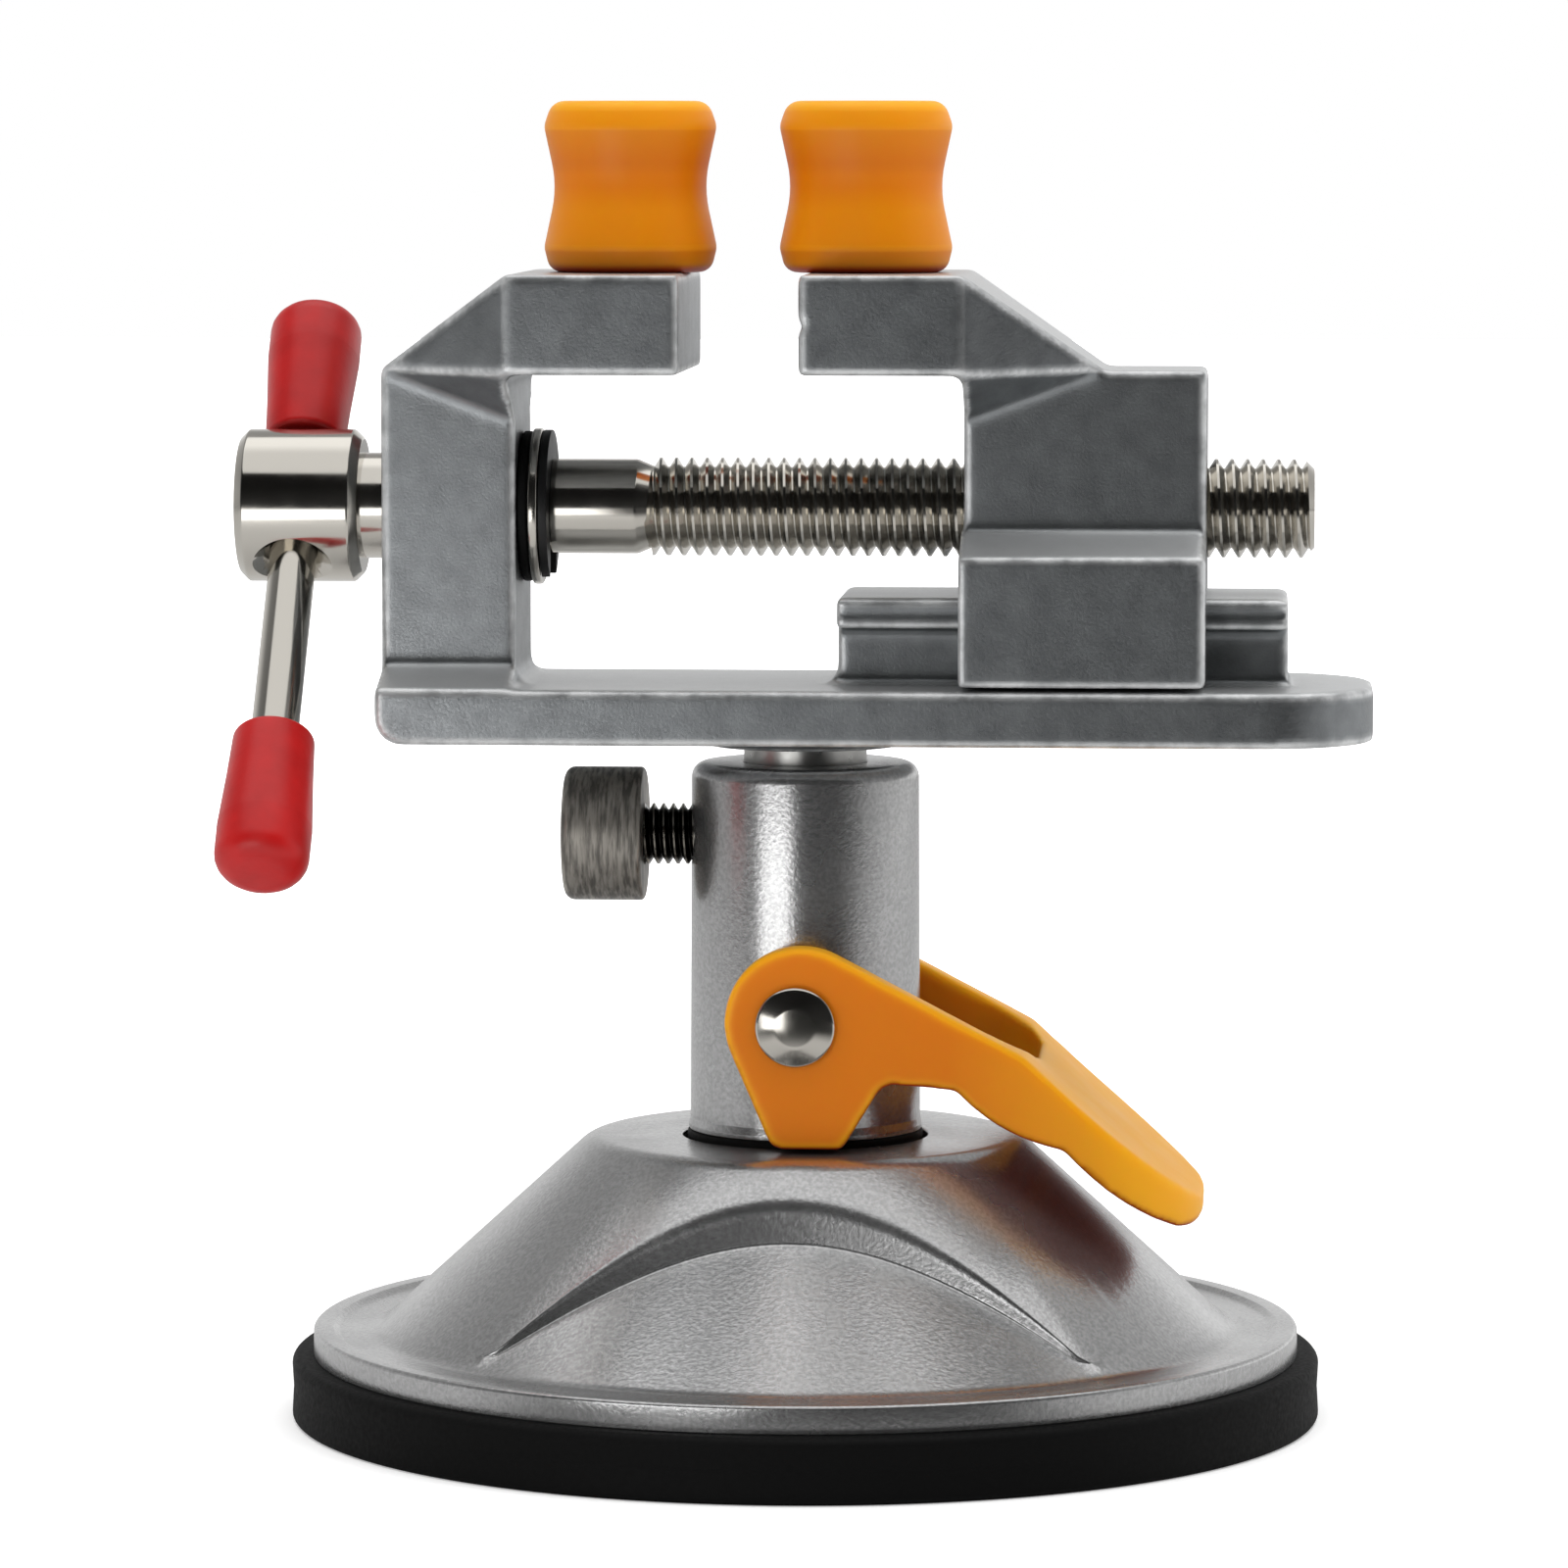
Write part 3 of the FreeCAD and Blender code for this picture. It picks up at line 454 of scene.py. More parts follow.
def marked(piece):
    """Mark each vertex with how far the surface bends outwards there."""
    mesh = piece.data
    pulls = [Vector() for vertex in mesh.vertices]
    for edge in mesh.edges:
        first, second = edge.vertices
        way = (mesh.vertices[second].co - mesh.vertices[first].co).normalized()
        pulls[first] += way
        pulls[second] -= way
    bends = [-pull.dot(vertex.normal) for vertex, pull in zip(mesh.vertices, pulls)]
    mesh.attributes.new("bend", "FLOAT", "POINT").data.foreach_set("value", bends)


def dressed(piece, body, nodes, finishes, angle=32):
    """Shade a piece, give it its finishes and set it on its body in place of CAD nodes."""
    nothing_selected()
    bpy.context.view_layer.objects.active = piece
    piece.select_set(True)
    piece.data.materials.clear()
    for finish in finishes:
        piece.data.materials.append(finish)
    bpy.ops.object.shade_smooth_by_angle(angle=math.radians(angle))
    marked(piece)
    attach(piece, body)
    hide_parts(*nodes)
    return piece


def casting(name, node, grid, rounds):
    """Copy a CAD casting and grind it on a grid, which rounds its edges and corners."""
    nothing_selected()
    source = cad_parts[node]
    piece = bpy.data.objects.new(name, source.data.copy())
    bpy.context.scene.collection.objects.link(piece)
    bpy.context.view_layer.objects.active = piece
    piece.select_set(True)
    edit_all()
    bpy.ops.mesh.customdata_custom_splitnormals_clear()
    close_up()
    modified(piece, "REMESH", mode="VOXEL", voxel_size=grid)
    return modified(piece, "SMOOTH", factor=0.5, iterations=rounds)


def thread(name, radius, depth, pitch, start, end, centre, steps=48):
    """Wind one pitch of thread outline along X and trim both ends flat."""
    first = start - pitch
    base = centre + X * first
    points = [base + Z * (radius - depth), base + X * (pitch * 0.08) + Z * (radius - depth),
              base + X * (pitch * 0.46) + Z * radius, base + X * (pitch * 0.62) + Z * radius,
              base + X * pitch + Z * (radius - depth)]
    piece = drawn(name, [point - centre for point in points])
    bpy.ops.object.mode_set(mode="OBJECT")
    turns = math.ceil((end - start) / pitch) + 2
    modified(piece, "SCREW", axis="X", angle=math.tau, screw_offset=pitch * MM, iterations=turns,
             steps=steps, render_steps=steps, use_merge_vertices=True, merge_threshold=0.001 * MM)
    edit_all()
    bpy.ops.transform.translate(value=centre * MM)
    bpy.ops.mesh.remove_doubles(threshold=0.002 * MM)
    for place, way in ((start, -1), (end, 1)):
        bpy.ops.mesh.select_all(action="SELECT")
        bpy.ops.mesh.bisect(plane_co=(centre + X * place) * MM, plane_no=X * way, clear_outer=True,
                            use_fill=True)
    close_up()
    return piece


# Properties that a user would change

def finish_colour(name, text, default):
    """Return a colour property with a hex default."""
    return bpy.props.FloatVectorProperty(name=name, description=text, subtype="COLOR", size=4,
                                         min=0, max=1, default=linear(default))


class ViseColours(bpy.types.PropertyGroup):
    """Colours of the finishes."""
    paint: finish_colour("Foot paint", "Silver paint of the dome and the column", "#bababa")
    casting: finish_colour("Castings", "Tumbled skin of the bar and the jaws", "#929597")
    # Bright colour of the castings: rubbed wear on their edges, also used as a painted highlight there and
    # as painted light on their top faces.
    worn_edge: finish_colour("Worn edges", "Rubbed edges of the castings", "#e6e7e7")
    nickel: finish_colour("Nickel", "Plated head, bar, washer and rivet", "#c6c2ba")
    amber: finish_colour("Amber", "Lever and jaw pads on their sides", "#dd7a04")
    # Painted light: the amber's colour where it faces upwards, at its edges and where it is thin.
    honey: finish_colour("Honey", "Lever and jaw pads where they face upwards", "#f0a818")
    # Painted shade: the amber's colour where it faces downwards.
    amber_below: finish_colour("Amber below", "Lever and jaw pads where they face down", "#9c3205")
    vinyl: finish_colour("Caps", "Dipped caps of the tommy bar", "#b01414")
    rubber: finish_colour("Rubber", "Rubber disc of the foot", "#0c0c0c")


class ViseSizes(bpy.types.PropertyGroup):
    """Sizes that a user would change."""
    casting_grid: bpy.props.FloatProperty(
        name="Casting grid", description="Grid size of the castings, which also rounds their edges",
        default=0.34 * MM, min=0.32 * MM, max=0.8 * MM, unit="LENGTH")
    casting_rounds: bpy.props.IntProperty(
        name="Casting rounding", description="Number of times that the castings are smoothed",
        default=8, min=1, max=20)
    ledge_round: bpy.props.FloatProperty(
        name="Dome ledge edge", description="Rounding of the ledge above the dome's arched facets",
        default=3.0 * MM, min=0.1 * MM, max=4.0 * MM, unit="LENGTH")
    lever_grid: bpy.props.FloatProperty(
        name="Lever grid", description="Grid size of the moulded lever, which also rounds its edges",
        default=0.26 * MM, min=0.15 * MM, max=0.6 * MM, unit="LENGTH")
    lever_rounds: bpy.props.IntProperty(
        name="Lever rounding", description="Number of times that the lever is smoothed",
        default=24, min=1, max=40)


# The suction foot

def ledge_radius(angle):
    """Return the distance of the facet's ledge from the axis, at an angle from the front."""
    distance, reach = 100.6, 80.0
    inside = reach * reach - (distance * math.sin(angle)) ** 2
    if inside < 0 or math.cos(angle) < 0:
        return CONE_FOOT
    return min(CONE_FOOT, distance * math.cos(angle) - math.sqrt(inside))


def dome_corners(angle, bend):
    """Return the dome's outline corners of (radius, height, rounding) at an angle."""
    true_ledge = ledge_radius(abs(math.remainder(angle, math.pi)))
    ledge = min(true_ledge, CONE_FOOT - 1.3)
    drop = max((CONE_FOOT - true_ledge) * 0.2332, 0.004)
    top = FLANGE_TOP + (CONE_FOOT - ledge) * 0.9138
    return [(5.3, 20.7, 0), (5.3, 18.1, 0.2), (14.2, 18.1, 0.8), (33.1, 5.2, 0.4), (FLANGE, 5.2, 0.12),
            (FLANGE, 7.45, 0.35), (FLANGE - 1.6, 7.45, 0.3), (FLANGE - 2.1, FLANGE_TOP, 0.3),
            (CONE_FOOT, FLANGE_TOP, 2.4), (ledge, top - drop, min(0.5, drop * 0.3)),
            (ledge, top, min(bend, drop)), (17.6, DOME_TOP, 2.6), (10.0, DOME_TOP, 0.2),
            (10.0, 20.7, 0.2)]


def dome(name, bend):
    """Spin the dome's outline, then set each of its lines down to the arched facets."""
    piece = drawn(name, outline_points(dome_corners(math.pi / 2, bend), ORIGIN, Z, True), True)
    bpy.ops.object.mode_set(mode="OBJECT")
    count = len(piece.data.vertices)
    line = piece.data.attributes.new("line", "INT", "POINT")
    line.data.foreach_set("value", [index % (count - 1) for index in range(count)])
    edit_all()
    bpy.ops.mesh.spin(steps=288, angle=math.tau, center=(0, 0, 0), axis=(0, 0, 1))
    bpy.ops.object.mode_set(mode="OBJECT")
    outlines = {}
    lines = piece.data.attributes["line"].data
    for vertex in piece.data.vertices:
        angle = round(math.atan2(vertex.co.x, -vertex.co.y), 5)
        if angle not in outlines:
            outlines[angle] = outline_points(dome_corners(angle, bend), ORIGIN, Z, True)
        spot = outlines[angle][lines[vertex.index].value] * MM
        vertex.co = (math.sin(angle) * spot.x, -math.cos(angle) * spot.x, spot.z)
    piece.data.attributes.remove(piece.data.attributes["line"])
    edit_all()
    close_up(0.0004)
    return piece


class VISE_OT_suction_foot(bpy.types.Operator):
    """Dome with its arched facets, rubber disc, stud, plate and release spring"""
    bl_idname = "vise.suction_foot"
    bl_label = "Suction foot"

    def execute(self, context):
        """Model the foot's pieces and set them on the base and the column."""
        sizes = context.scene.vise_sizes
        dressed(dome("dome", sizes.ledge_round / MM), "base", ["base_shell"],
                [once(satin_silver_paint)])
        rubber = once(moulded_black_rubber)
        disc = turned("rubber_disc", [
            (0, 1.7, 0), (27.2, 1.7, 2.0), (33.7, 0, 0.3), (42.0, 0, 0.5), (41.85, 2.6, 1.0),
            (42.0, 5.2, 0.7), (31.7, 5.2, 0.5), (29.7, 3.7, 0.5), (12.0, 3.7, 0.6), (10.0, 5.3, 0.3),
            (8.0, 5.3, 0), (8.0, 3.7, 0), (0, 3.7, 0)], steps=192)
        dressed(disc, "base", ["suction_pad"], [rubber])
        collar = turned("column_ring", [(3.0, 22.4, 0), (9.6, 22.4, 0.15), (9.6, 23.5, 0.3),
                                        (3.0, 23.5, 0)], closed=True)
        dressed(collar, "column", ["column_collar"], [rubber])
        steel = once(plain_turned_steel)
        plate = turned("stud_disc", [(3.0, 3.7, 0), (8.0, 3.7, 0.15), (8.0, 5.3, 0.15), (3.0, 5.3, 0)],
                       closed=True)
        dressed(plate, "column", ["stud_plate"], [steel])
        stud = turned("foot_stud", [(0, 3.7, 0), (3.0, 3.7, 0.2), (3.0, 30.1, 0.3), (0, 30.1, 0)])
        dressed(stud, "column", ["pad_stud"], [steel])
        dressed(self.spring(), "base", ["release_spring"], [steel], 60)
        return {"FINISHED"}

    def spring(self):
        """Wind a round wire from the stud's plate up to the dome."""
        wire, radius, low, high, turns = 0.6, 6.6, 5.5, 17.9, 5
        ring = [Vector((radius + wire * math.cos(turn), 0, low + wire + wire * math.sin(turn)))
                for turn in (math.tau * step / 12 for step in range(12))]
        piece = drawn("return_spring", ring, closed=True)
        bpy.ops.mesh.remove_doubles(threshold=0.001 * MM)
        bpy.ops.object.mode_set(mode="OBJECT")
        modified(piece, "SCREW", axis="Z", angle=math.tau * turns, steps=48 * turns,
                 render_steps=48 * turns, screw_offset=(high - low - wire - wire) * MM)
        edit_all()
        bpy.ops.mesh.select_all(action="DESELECT")
        bpy.ops.mesh.select_non_manifold()
        bpy.ops.mesh.fill_holes(sides=0)
        close_up()
        return piece


# The column with its lever and clamp screw

def lever_side(y):
    """Return the points of the lever's side outline: ear, paddle, heel and cam foot."""
    length = 32.6

    def spot(share):
        return PIVOT + X * (share[0] * length) + Z * (share[1] * length)

    ear, ear_radius = PIVOT + Vector((0.35, 0, 0.2)), 6.1
    foot_z, foot_radius = 23.35, 1.15
    toe = Vector((foot_radius - 2.3, 0, foot_z + foot_radius))
    top = [spot(share) for share in ((0.561, -0.071), (0.761, -0.252), (0.972, -0.425))]
    low = [spot(share) for share in ((0.935, -0.505), (0.785, -0.417), (0.656, -0.301))]
    belly = [spot(share) for share in ((0.537, -0.264), (0.393, -0.156))]
    heel = spot((0.215, -0.141))

    def touch(other, other_radius, side):
        away = other - ear
        return math.atan2(away.z, away.x) + side * math.acos((ear_radius - other_radius) / away.length)

    crest, back = touch(top[0], 0, 1), touch(toe, foot_radius, -1) + math.tau
    points = []
    for step in range(33):
        angle = back + (crest - back) * step / 32
        points.append(ear + X * (ear_radius * math.cos(angle)) + Z * (ear_radius * math.sin(angle)))
    points += bow(*top, 12) + bow(top[2], spot((1.0, -0.476)), low[0], 10) + bow(*low, 10)
    points += bow(low[2], belly[0], belly[1], 12)
    bend = rounded([(belly[1], 0), (heel, 1.5), (Vector((3.7, 0, foot_z)), 0)])
    points += bend
    for step in range(9):
        angle = -math.pi / 2 + (back - math.tau + math.pi / 2) * step / 8
        points.append(toe + X * (foot_radius * math.cos(angle)) + Z * (foot_radius * math.sin(angle)))
    return [point + Y * y for point in points]


def plan(name, low, high, half, bend):
    """Return an upright block whose two far corners are rounded."""
    corners = [(Vector((low, -half, 0)), 0), (Vector((high, -half, 0)), bend),
               (Vector((high, half, 0)), bend), (Vector((low, half, 0)), 0)]
    return slab(name, rounded(corners, True, 16), Z * 66)


class VISE_OT_column(bpy.types.Operator):
    """Cast column with its rivet and the post that the head turns on"""
    bl_idname = "vise.column"
    bl_label = "Column"

    def execute(self, context):
        """Model the column, the rivet and the post."""
        body = turned("column_casting", [
            (0, 30.1, 0), (3.0, 30.1, 0), (3.0, 23.5, 0.1), (9.5, 23.5, 0.12), (9.5, 23.9, 0.2),
            (9.38, 24.5, 0.5), (9.25, 53.5, 1.2),
            (5.05, 53.5, 0.2), (5.05, 38.0, 0), (0, 38.0, 0)], steps=128)
        drilled(body, 2.2, PIVOT - Y * 11, PIVOT + Y * 11)
        drilled(body, 2.55, Vector((-11, 0, CLAMP_Z)), Vector((0, 0, CLAMP_Z)))
        dressed(body, "column", ["column"], [once(satin_silver_paint)])
        rivet = turned("rivet", [
            (0, -14.35, 0), (1.6, -14.2, 1.5), (3.25, -13.65, 0.9), (3.25, -13.05, 0.12),
            (2.2, -13.05, 0), (2.2, 13.05, 0), (3.25, 13.05, 0.12), (3.25, 13.65, 0.9),
            (1.6, 14.2, 1.5), (0, 14.35, 0)], PIVOT, Y)
        dressed(rivet, "column", ["lever_pin"], [once(bright_nickel_plate)], 50)
        post = turned("turning_post", [(0, 38.8, 0), (5.0, 38.8, 0.6), (5.0, 59.0, 0), (0, 59.0, 0)])
        dressed(post, "vise_head", ["swivel_post"], [once(plain_turned_steel)])
        return {"FINISHED"}


class VISE_OT_cam_lever(bpy.types.Operator):
    """Amber fork with its cam feet and its paddle"""
    bl_idname = "vise.cam_lever"
    bl_label = "Cam lever"

    def execute(self, context):
        """Cut the lever from its side and plan outlines and soften it like a moulding."""
        body = slab("cam_lever", lever_side(-13.0), Y * 26.0)
        combined(body, plan("plan", -33, 32.6, 13.0, 9.5), "INTERSECT")
        combined(body, plan("slot", -33, 19.0, 10.0, 5.0), "DIFFERENCE")
        drilled(body, 2.25, PIVOT - Y * 14, PIVOT + Y * 14)
        sizes = context.scene.vise_sizes
        modified(body, "REMESH", mode="VOXEL", voxel_size=sizes.lever_grid)
        modified(body, "SMOOTH", factor=0.5, iterations=sizes.lever_rounds)
        dressed(body, "lever", ["lever"], [once(moulded_amber_urethane)], 75)
        return {"FINISHED"}


class VISE_OT_clamp_screw(bpy.types.Operator):
    """Clamp screw that holds the head's post, with its knob"""
    bl_idname = "vise.clamp_screw"
    bl_label = "Clamp screw"

    def execute(self, context):
        """Model the knob and the threaded stud."""
        centre = Z * CLAMP_Z
        knob = turned("clamp_knob_piece", [
            (0, -19.6, 0), (5.45, -19.6, 0.8), (5.45, -13.1, 0.35), (2.55, -13.1, 0), (2.55, -17.65, 0),
            (0, -17.65, 0)], centre, X)
        dressed(knob, "clamp_knob", ["clamp_knob"], [once(coarsely_brushed_zinc)])
        stud = thread("clamp_stud_piece", 2.5, 0.5, 0.8, -17.6, -5.35, centre, 40)
        dressed(stud, "clamp_stud", ["clamp_screw"], [once(oiled_dark_steel)])
        return {"FINISHED"}


# The head

class VISE_OT_castings(bpy.types.Operator):
    """Bar with its fixed jaw and rail, and the moving jaw"""
    bl_idname = "vise.castings"
    bl_label = "Castings"

    def execute(self, context):
        """Copy the two castings and round their edges."""
        sizes = context.scene.vise_sizes
        for name, node, body in (("fixed_jaw_casting", "vise_body", "vise_head"),
                                 ("moving_jaw_casting", "moving_jaw", "moving_jaw")):
            piece = casting(name, node, sizes.casting_grid, sizes.casting_rounds)
            dressed(piece, body, [node], [once(tumbled_zinc_casting)], 75)
        return {"FINISHED"}


class VISE_OT_lead_screw(bpy.types.Operator):
    """Lead screw with its drilled head, washer and snap ring"""
    bl_idname = "vise.lead_screw"
    bl_label = "Lead screw"

    def execute(self, context):
        """Model the screw's turned parts, its thread, the washer and the ring."""
        centre = Z * SCREW_Z
        shank = turned("lead_screw_piece", [
            (0, -46.0, 0), (5.5, -46.0, 0.3), (6.2, -45.3, 0.3), (6.2, -36.7, 0.3), (5.5, -36.0, 0.3),
            (4.3, -36.0, 0), (4.3, -34.0, 0), (4.0, -34.0, 0), (4.0, -21.25, 0), (3.3, -21.25, 0),
            (3.3, -20.55, 0), (3.85, -20.55, 0.1), (3.85, -13.6, 0.6), (3.25, -12.2, 0.3),
            (3.25, -11.6, 0), (0, -11.6, 0)], centre, X)
        drilled(shank, 1.95, TOMMY_CENTRE - TOMMY_WAY * 8, TOMMY_CENTRE + TOMMY_WAY * 8)
        for side in (-1, 1):
            sink = turned("sink", [(0, 4.6, 0), (1.7, 4.6, 0), (4.2, 7.2, 0), (0, 7.2, 0)],
                          TOMMY_CENTRE, TOMMY_WAY * side, steps=64)
            combined(shank, sink, "DIFFERENCE")
        coil = thread("coil", 4.0, 0.75, 1.25, -12.4, 41.2, centre)
        point = turned("point", [(0, -13, 0), (4.2, -13, 0), (4.2, 40.2, 0), (3.2, 41.2, 0),
                                 (0, 41.2, 0)], centre, X)
        combined(coil, point, "INTERSECT")
        plated, dark = once(bright_nickel_plate), once(oiled_dark_steel)
        coil.data.materials.clear()
        for finish in (plated, dark):
            coil.data.materials.append(finish)
        for polygon in coil.data.polygons:
            polygon.material_index = 1
        shank.data.materials.append(plated)
        joined(shank, coil)
        dressed(shank, "lead_screw", ["lead_screw"], [plated, dark])
        for name, node, slot, finish, start, end, radius in (
                # Painted shade: the black washer against the upright stands in for the shade and dark
                # reflection on the upright's face beside the bright washer.
                ("dark_washer", "fibre_washer", "rubber_black", moulded_black_rubber, -22.95, -22.15, 6.1),
                ("bright_washer", "thrust_washer", "nickel_plate", bright_nickel_plate, -22.1, -21.3,
                 6.35)):
            washer = turned(name, [(4.05, start, 0.05), (radius, start, 0.25), (radius, end, 0.25),
                                   (4.05, end, 0.05)], centre, X, True)
            dressed(washer, "lead_screw", [node], [once(finish)])
        ring = turned("snap_ring", [(3.3, -21.25, 0.05), (6.2, -21.25, 0.08), (6.2, -20.55, 0.08),
                                    (3.3, -20.55, 0.05)], centre, X, True)
        mouth = slab("mouth", [Vector((-23, -2.6, SCREW_Z)), Vector((-20, -2.6, SCREW_Z)),
                               Vector((-20, 2.6, SCREW_Z)), Vector((-23, 2.6, SCREW_Z))], Z * -8)
        combined(ring, mouth, "DIFFERENCE")
        dressed(ring, "lead_screw", ["retaining_ring"], [once(blackened_spring_steel)])
        return {"FINISHED"}


class VISE_OT_tommy_bar(bpy.types.Operator):
    """Tommy bar with its two red caps"""
    bl_idname = "vise.tommy_bar"
    bl_label = "Tommy bar"

    def execute(self, context):
        """Model the bar and one cap, and copy the cap to the other end."""
        bar = turned("tommy_rod", [(0, -35.6, 0), (1.9, -35.6, 0.2), (1.9, 18.2, 0.2), (0, 18.2, 0)],
                     TOMMY_CENTRE, TOMMY_WAY)
        dressed(bar, "tommy_bar", ["tommy_bar"], [once(bright_nickel_plate)])
        upper = turned("red_cap_upper", [
            (1.9, 6.3, 0.15), (3.25, 6.3, 0.45), (3.45, 10.3, 3), (3.78, 15.2, 2.0), (3.76, 19.7, 3.3),
            (0, 19.7, 0), (0, 18.2, 0), (1.9, 18.2, 0)], TOMMY_CENTRE, TOMMY_WAY)
        lower = copied(upper, "red_cap_lower")
        bpy.ops.transform.rotate(value=math.pi, orient_axis="X", center_override=TOMMY_CENTRE * MM)
        bpy.ops.transform.translate(value=TOMMY_WAY * (-17.4 * MM))
        bpy.ops.object.mode_set(mode="OBJECT")
        for cap, node in ((upper, "bar_cap_upper"), (lower, "bar_cap_lower")):
            dressed(cap, "tommy_bar", [node], [once(dipped_red_vinyl)], 50)
        return {"FINISHED"}


class VISE_OT_jaw_pads(bpy.types.Operator):
    """Amber waisted pads on the two jaws"""
    bl_idname = "vise.jaw_pads"
    bl_label = "Jaw pads"

    def execute(self, context):
        """Turn one pad and copy it to the other jaw."""
        left = turned("soft_pad_left", [
            (0, 88.7, 0), (2.2, 88.7, 0.3), (2.2, 93.2, 0), (6.5, 93.2, 1.2), (7.0, 95.2, 1.5),
            (5.95, 100.1, 9.0), (7.0, 105.0, 1.5), (6.3, 107.0, 1.4), (0, 107.0, 0)],
            X * -14.2, Z, steps=128)
        right = copied(left, "soft_pad_right")
        bpy.ops.transform.translate(value=X * (19.1 * MM))
        bpy.ops.object.mode_set(mode="OBJECT")
        for pad, node, body in ((left, "jaw_pad_fixed", "vise_head"),
                                (right, "jaw_pad_moving", "moving_jaw")):
            dressed(pad, body, [node], [once(moulded_amber_urethane)], 60)
        return {"FINISHED"}


# The stage

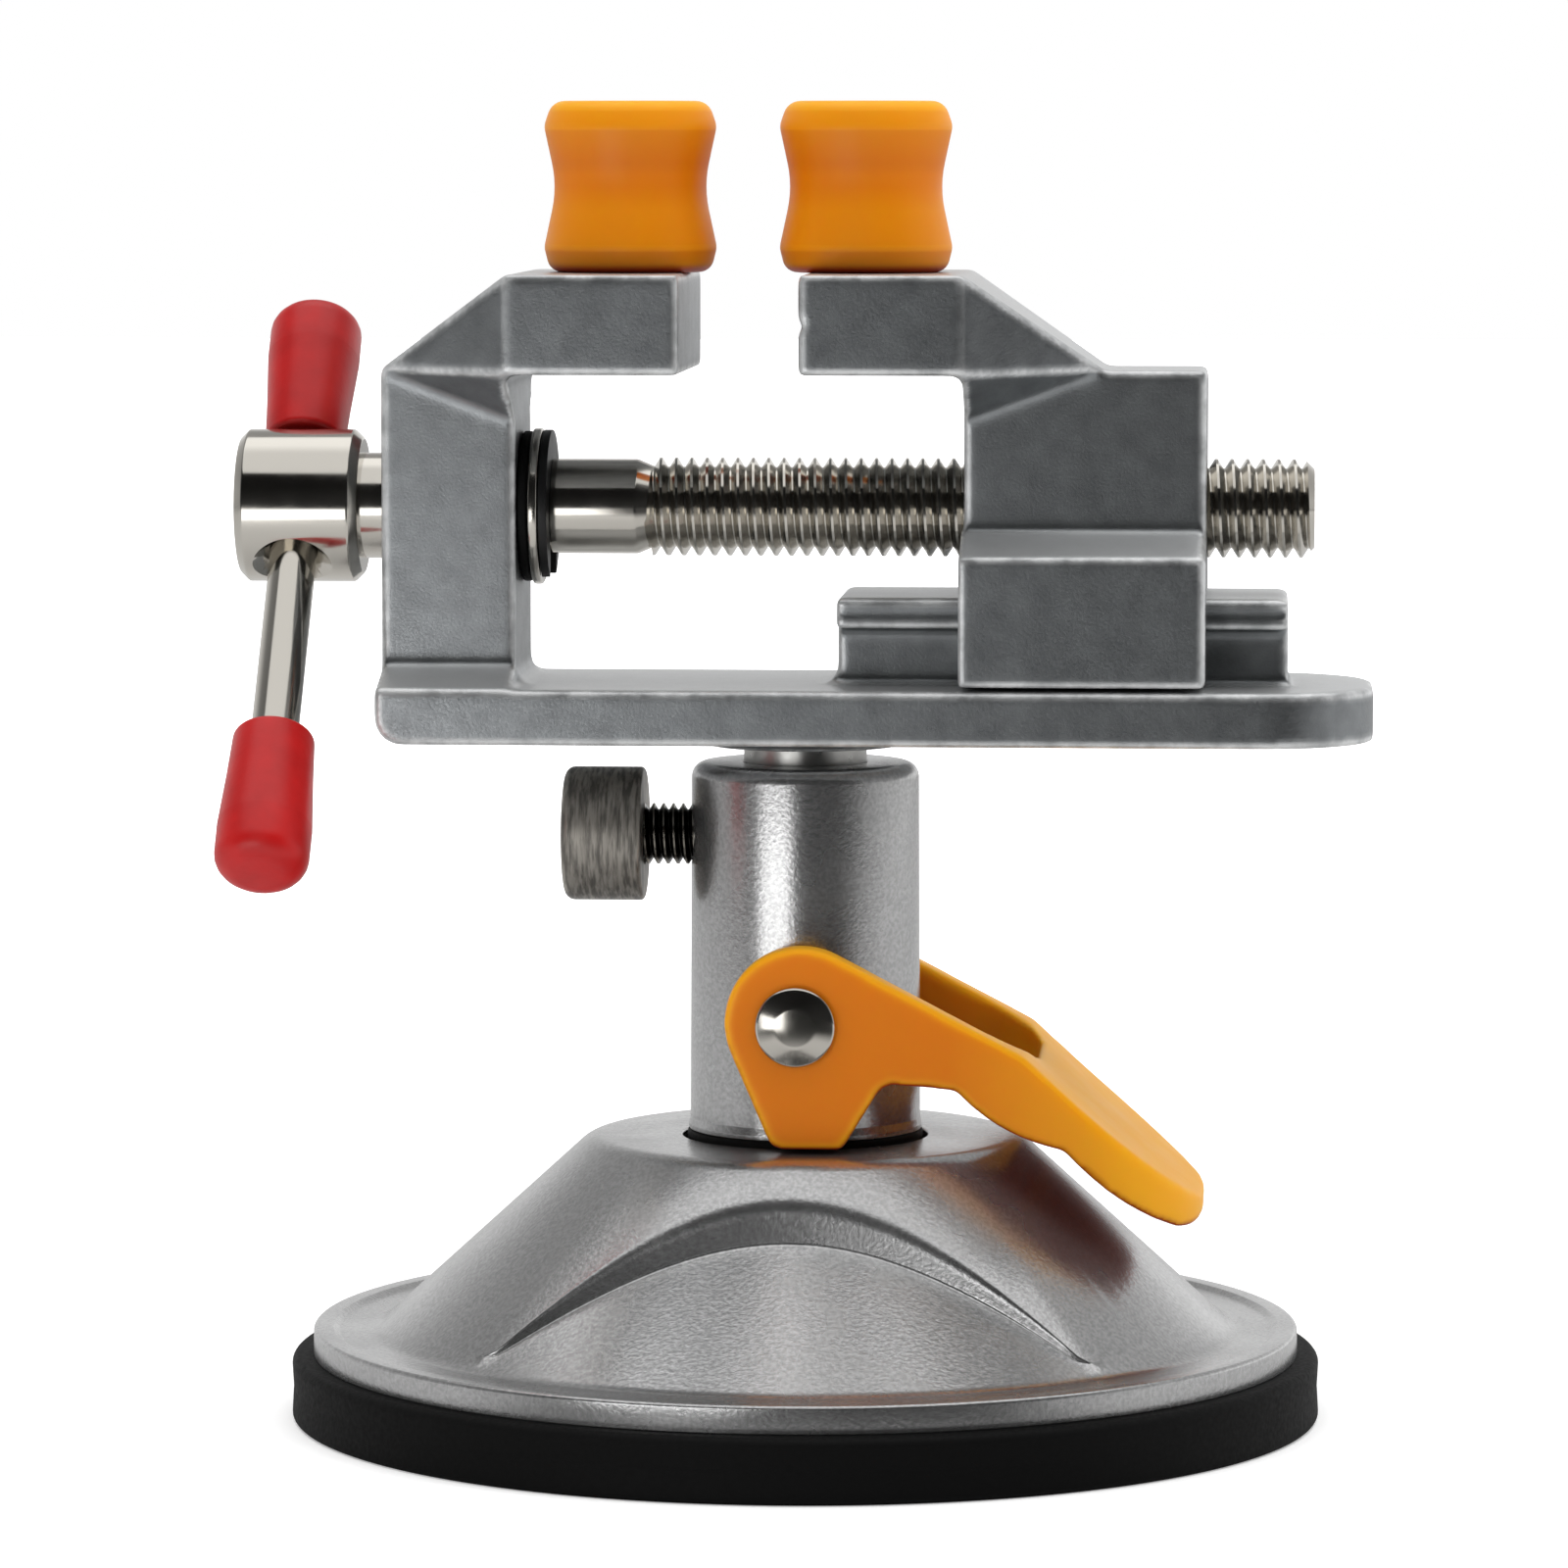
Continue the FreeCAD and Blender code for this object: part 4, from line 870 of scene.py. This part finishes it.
class VISE_OT_stage(bpy.types.Operator):
    """Pale floor, studio light and the camera at the photograph's angle"""
    bl_idname = "vise.stage"
    bl_label = "Stage"

    def execute(self, context):
        """Make the floor, the world, the lamps and the camera."""
        nothing_selected()
        bpy.ops.mesh.primitive_plane_add(size=6, location=(0, 0, -0.00002))
        floor = context.object
        floor.name = "floor"
        floor.data.materials.append(self.floor_paint())
        self.world()
        for name, place, size, power, mirrored in (
                ("top_light", (0.0, 0.05, 0.95), (1.1, 0.9), 4.5, False),
                ("left_light", (-0.85, -0.25, 0.40), (0.5, 0.9), 1.4, False),
                ("right_light", (0.85, -0.15, 0.40), (0.5, 0.9), 2.8, False),
                ("front_light", (-0.10, -0.90, 0.55), (0.6, 0.5), 1.4, False),
                ("strip_light", (-0.100, -0.200, 0.032), (0.13, 0.06), 0.07, True)):
            bpy.ops.object.light_add(type="AREA", location=place)
            lamp = context.object
            lamp.name = name
            lamp.data.shape = "RECTANGLE"
            lamp.data.size, lamp.data.size_y = size
            lamp.data.energy = power
            lamp.visible_glossy = mirrored
            lamp.visible_camera = False
            aim = Vector((0, 0, 0.045)) - Vector(place)
            lamp.rotation_euler = aim.to_track_quat("-Z", "Y").to_euler()
        azimuth = math.radians(3.7)
        target = Vector((-1.75, 0, 51.6)) * MM
        place = Vector((0.590 * math.sin(azimuth) - 0.00175, -0.590 * math.cos(azimuth), 0.105))
        bpy.ops.object.camera_add(location=place,
                                  rotation=(target - place).to_track_quat("-Z", "Y").to_euler())
        camera = context.object
        camera.data.lens = 167
        camera.data.sensor_width = 36
        camera.data.clip_start = 0.05
        context.scene.camera = camera
        context.scene.view_settings.view_transform = "Standard"
        return {"FINISHED"}

    def floor_paint(self):
        """White sweep that keeps the shadow; metal sees it dark towards the camera, at a low angle."""
        made, tree, shader, place = material("white_studio_floor")
        path = add(tree, "ShaderNodeLightPath")
        camera, glossy = path.outputs["Is Camera Ray"], path.outputs["Is Glossy Ray"]
        way = add(tree, "ShaderNodeVectorMath", {0: place}, operation="NORMALIZE").outputs[0]
        ahead = ramp(tree, add(tree, "ShaderNodeSeparateXYZ", {"Vector": way}).outputs["Y"],
                     -0.8, -0.5, 1.0, 0.0)
        graze = ramp(tree, add(tree, "ShaderNodeLayerWeight").outputs["Facing"], 0.6, 0.78, 0.0, 1.0)
        dark = worked(tree, "MULTIPLY", ahead, graze)
        seen = blended(tree, dark, linear("#cdcdcd"), linear("#0c0c0c"))
        reach = add(tree, "ShaderNodeVectorMath", {0: place}, operation="LENGTH").outputs["Value"]
        glow = worked(tree, "MULTIPLY", camera, ramp(tree, reach, 0.10, 0.40, 0.3, 1.0))
        set_shader(tree, shader, Base_Color=blended(tree, glossy, linear("#f4f4f4"), seen),
                   Roughness=0.9, Emission_Color=(1, 1, 1, 1), Emission_Strength=glow)
        return made

    def world(self):
        """White studio for the camera; metal sees a dark room in front and to the right."""
        world = bpy.data.worlds.new("studio")
        world.use_nodes = True
        bpy.context.scene.world = world
        tree = world.node_tree
        tree.nodes.clear()
        way = add(tree, "ShaderNodeTexCoord").outputs["Generated"]
        parts = add(tree, "ShaderNodeSeparateXYZ", {"Vector": way})
        walls = ramp(tree, parts.outputs["Y"], -0.55, 0.5, 0.03, 1.15)
        for axis, low, high, start, end in (("Z", 0.15, 0.5, 1.0, 0.45), ("X", -0.9, 0.9, 0.6, 1.05)):
            fall = ramp(tree, parts.outputs[axis], low, high, start, end)
            walls = worked(tree, "MULTIPLY", walls, fall)
        ceiling = ramp(tree, parts.outputs["Z"], 0.765, 0.795, 0.0, 1.0)
        overhead = ramp(tree, parts.outputs["Y"], 0.0, 0.25, 1.05, 1.5)
        room = add(tree, "ShaderNodeMix", {0: ceiling, 2: walls, 3: overhead}).outputs[0]
        path = add(tree, "ShaderNodeLightPath")
        strength = add(tree, "ShaderNodeMix", {0: path.outputs["Is Camera Ray"], 2: room, 3: 1.0})
        shader = add(tree, "ShaderNodeBackground", {"Color": (1, 1, 1, 1),
                                                    "Strength": strength.outputs[0]})
        add(tree, "ShaderNodeOutputWorld", {"Surface": shader.outputs[0]})


class VISE_PT_panel(bpy.types.Panel):
    """Sizes and pieces of the vise"""
    bl_idname = "VISE_PT_panel"
    bl_label = "Suction base vise"
    bl_space_type = "VIEW_3D"
    bl_region_type = "UI"
    bl_category = "Vise"

    def draw(self, context):
        """List the sizes and the operators."""
        for group, kind in ((context.scene.vise_sizes, ViseSizes),
                            (context.scene.vise_colours, ViseColours)):
            for name in kind.__annotations__:
                self.layout.prop(group, name)
        for operator in OPERATORS:
            self.layout.operator(operator.bl_idname)


OPERATORS = (VISE_OT_suction_foot, VISE_OT_column, VISE_OT_cam_lever, VISE_OT_clamp_screw,
             VISE_OT_castings, VISE_OT_lead_screw, VISE_OT_tommy_bar, VISE_OT_jaw_pads,
             VISE_OT_stage)
CLASSES = (ViseSizes, ViseColours) + OPERATORS + (VISE_PT_panel,)


def register():
    """Register the classes and the scene's settings."""
    for kind in CLASSES:
        bpy.utils.register_class(kind)
    bpy.types.Scene.vise_sizes = bpy.props.PointerProperty(type=ViseSizes)
    bpy.types.Scene.vise_colours = bpy.props.PointerProperty(type=ViseColours)


def unregister():
    """Take the scene's settings and the classes away again."""
    del bpy.types.Scene.vise_sizes
    del bpy.types.Scene.vise_colours
    for kind in reversed(CLASSES):
        bpy.utils.unregister_class(kind)


def main():
    """Build the vise and its stage."""
    register()
    bpy.ops.vise.suction_foot()
    bpy.ops.vise.column()
    bpy.ops.vise.cam_lever()
    bpy.ops.vise.clamp_screw()
    bpy.ops.vise.castings()
    bpy.ops.vise.lead_screw()
    bpy.ops.vise.tommy_bar()
    bpy.ops.vise.jaw_pads()
    bpy.ops.vise.stage()


if __name__ == "__main__":
    main()
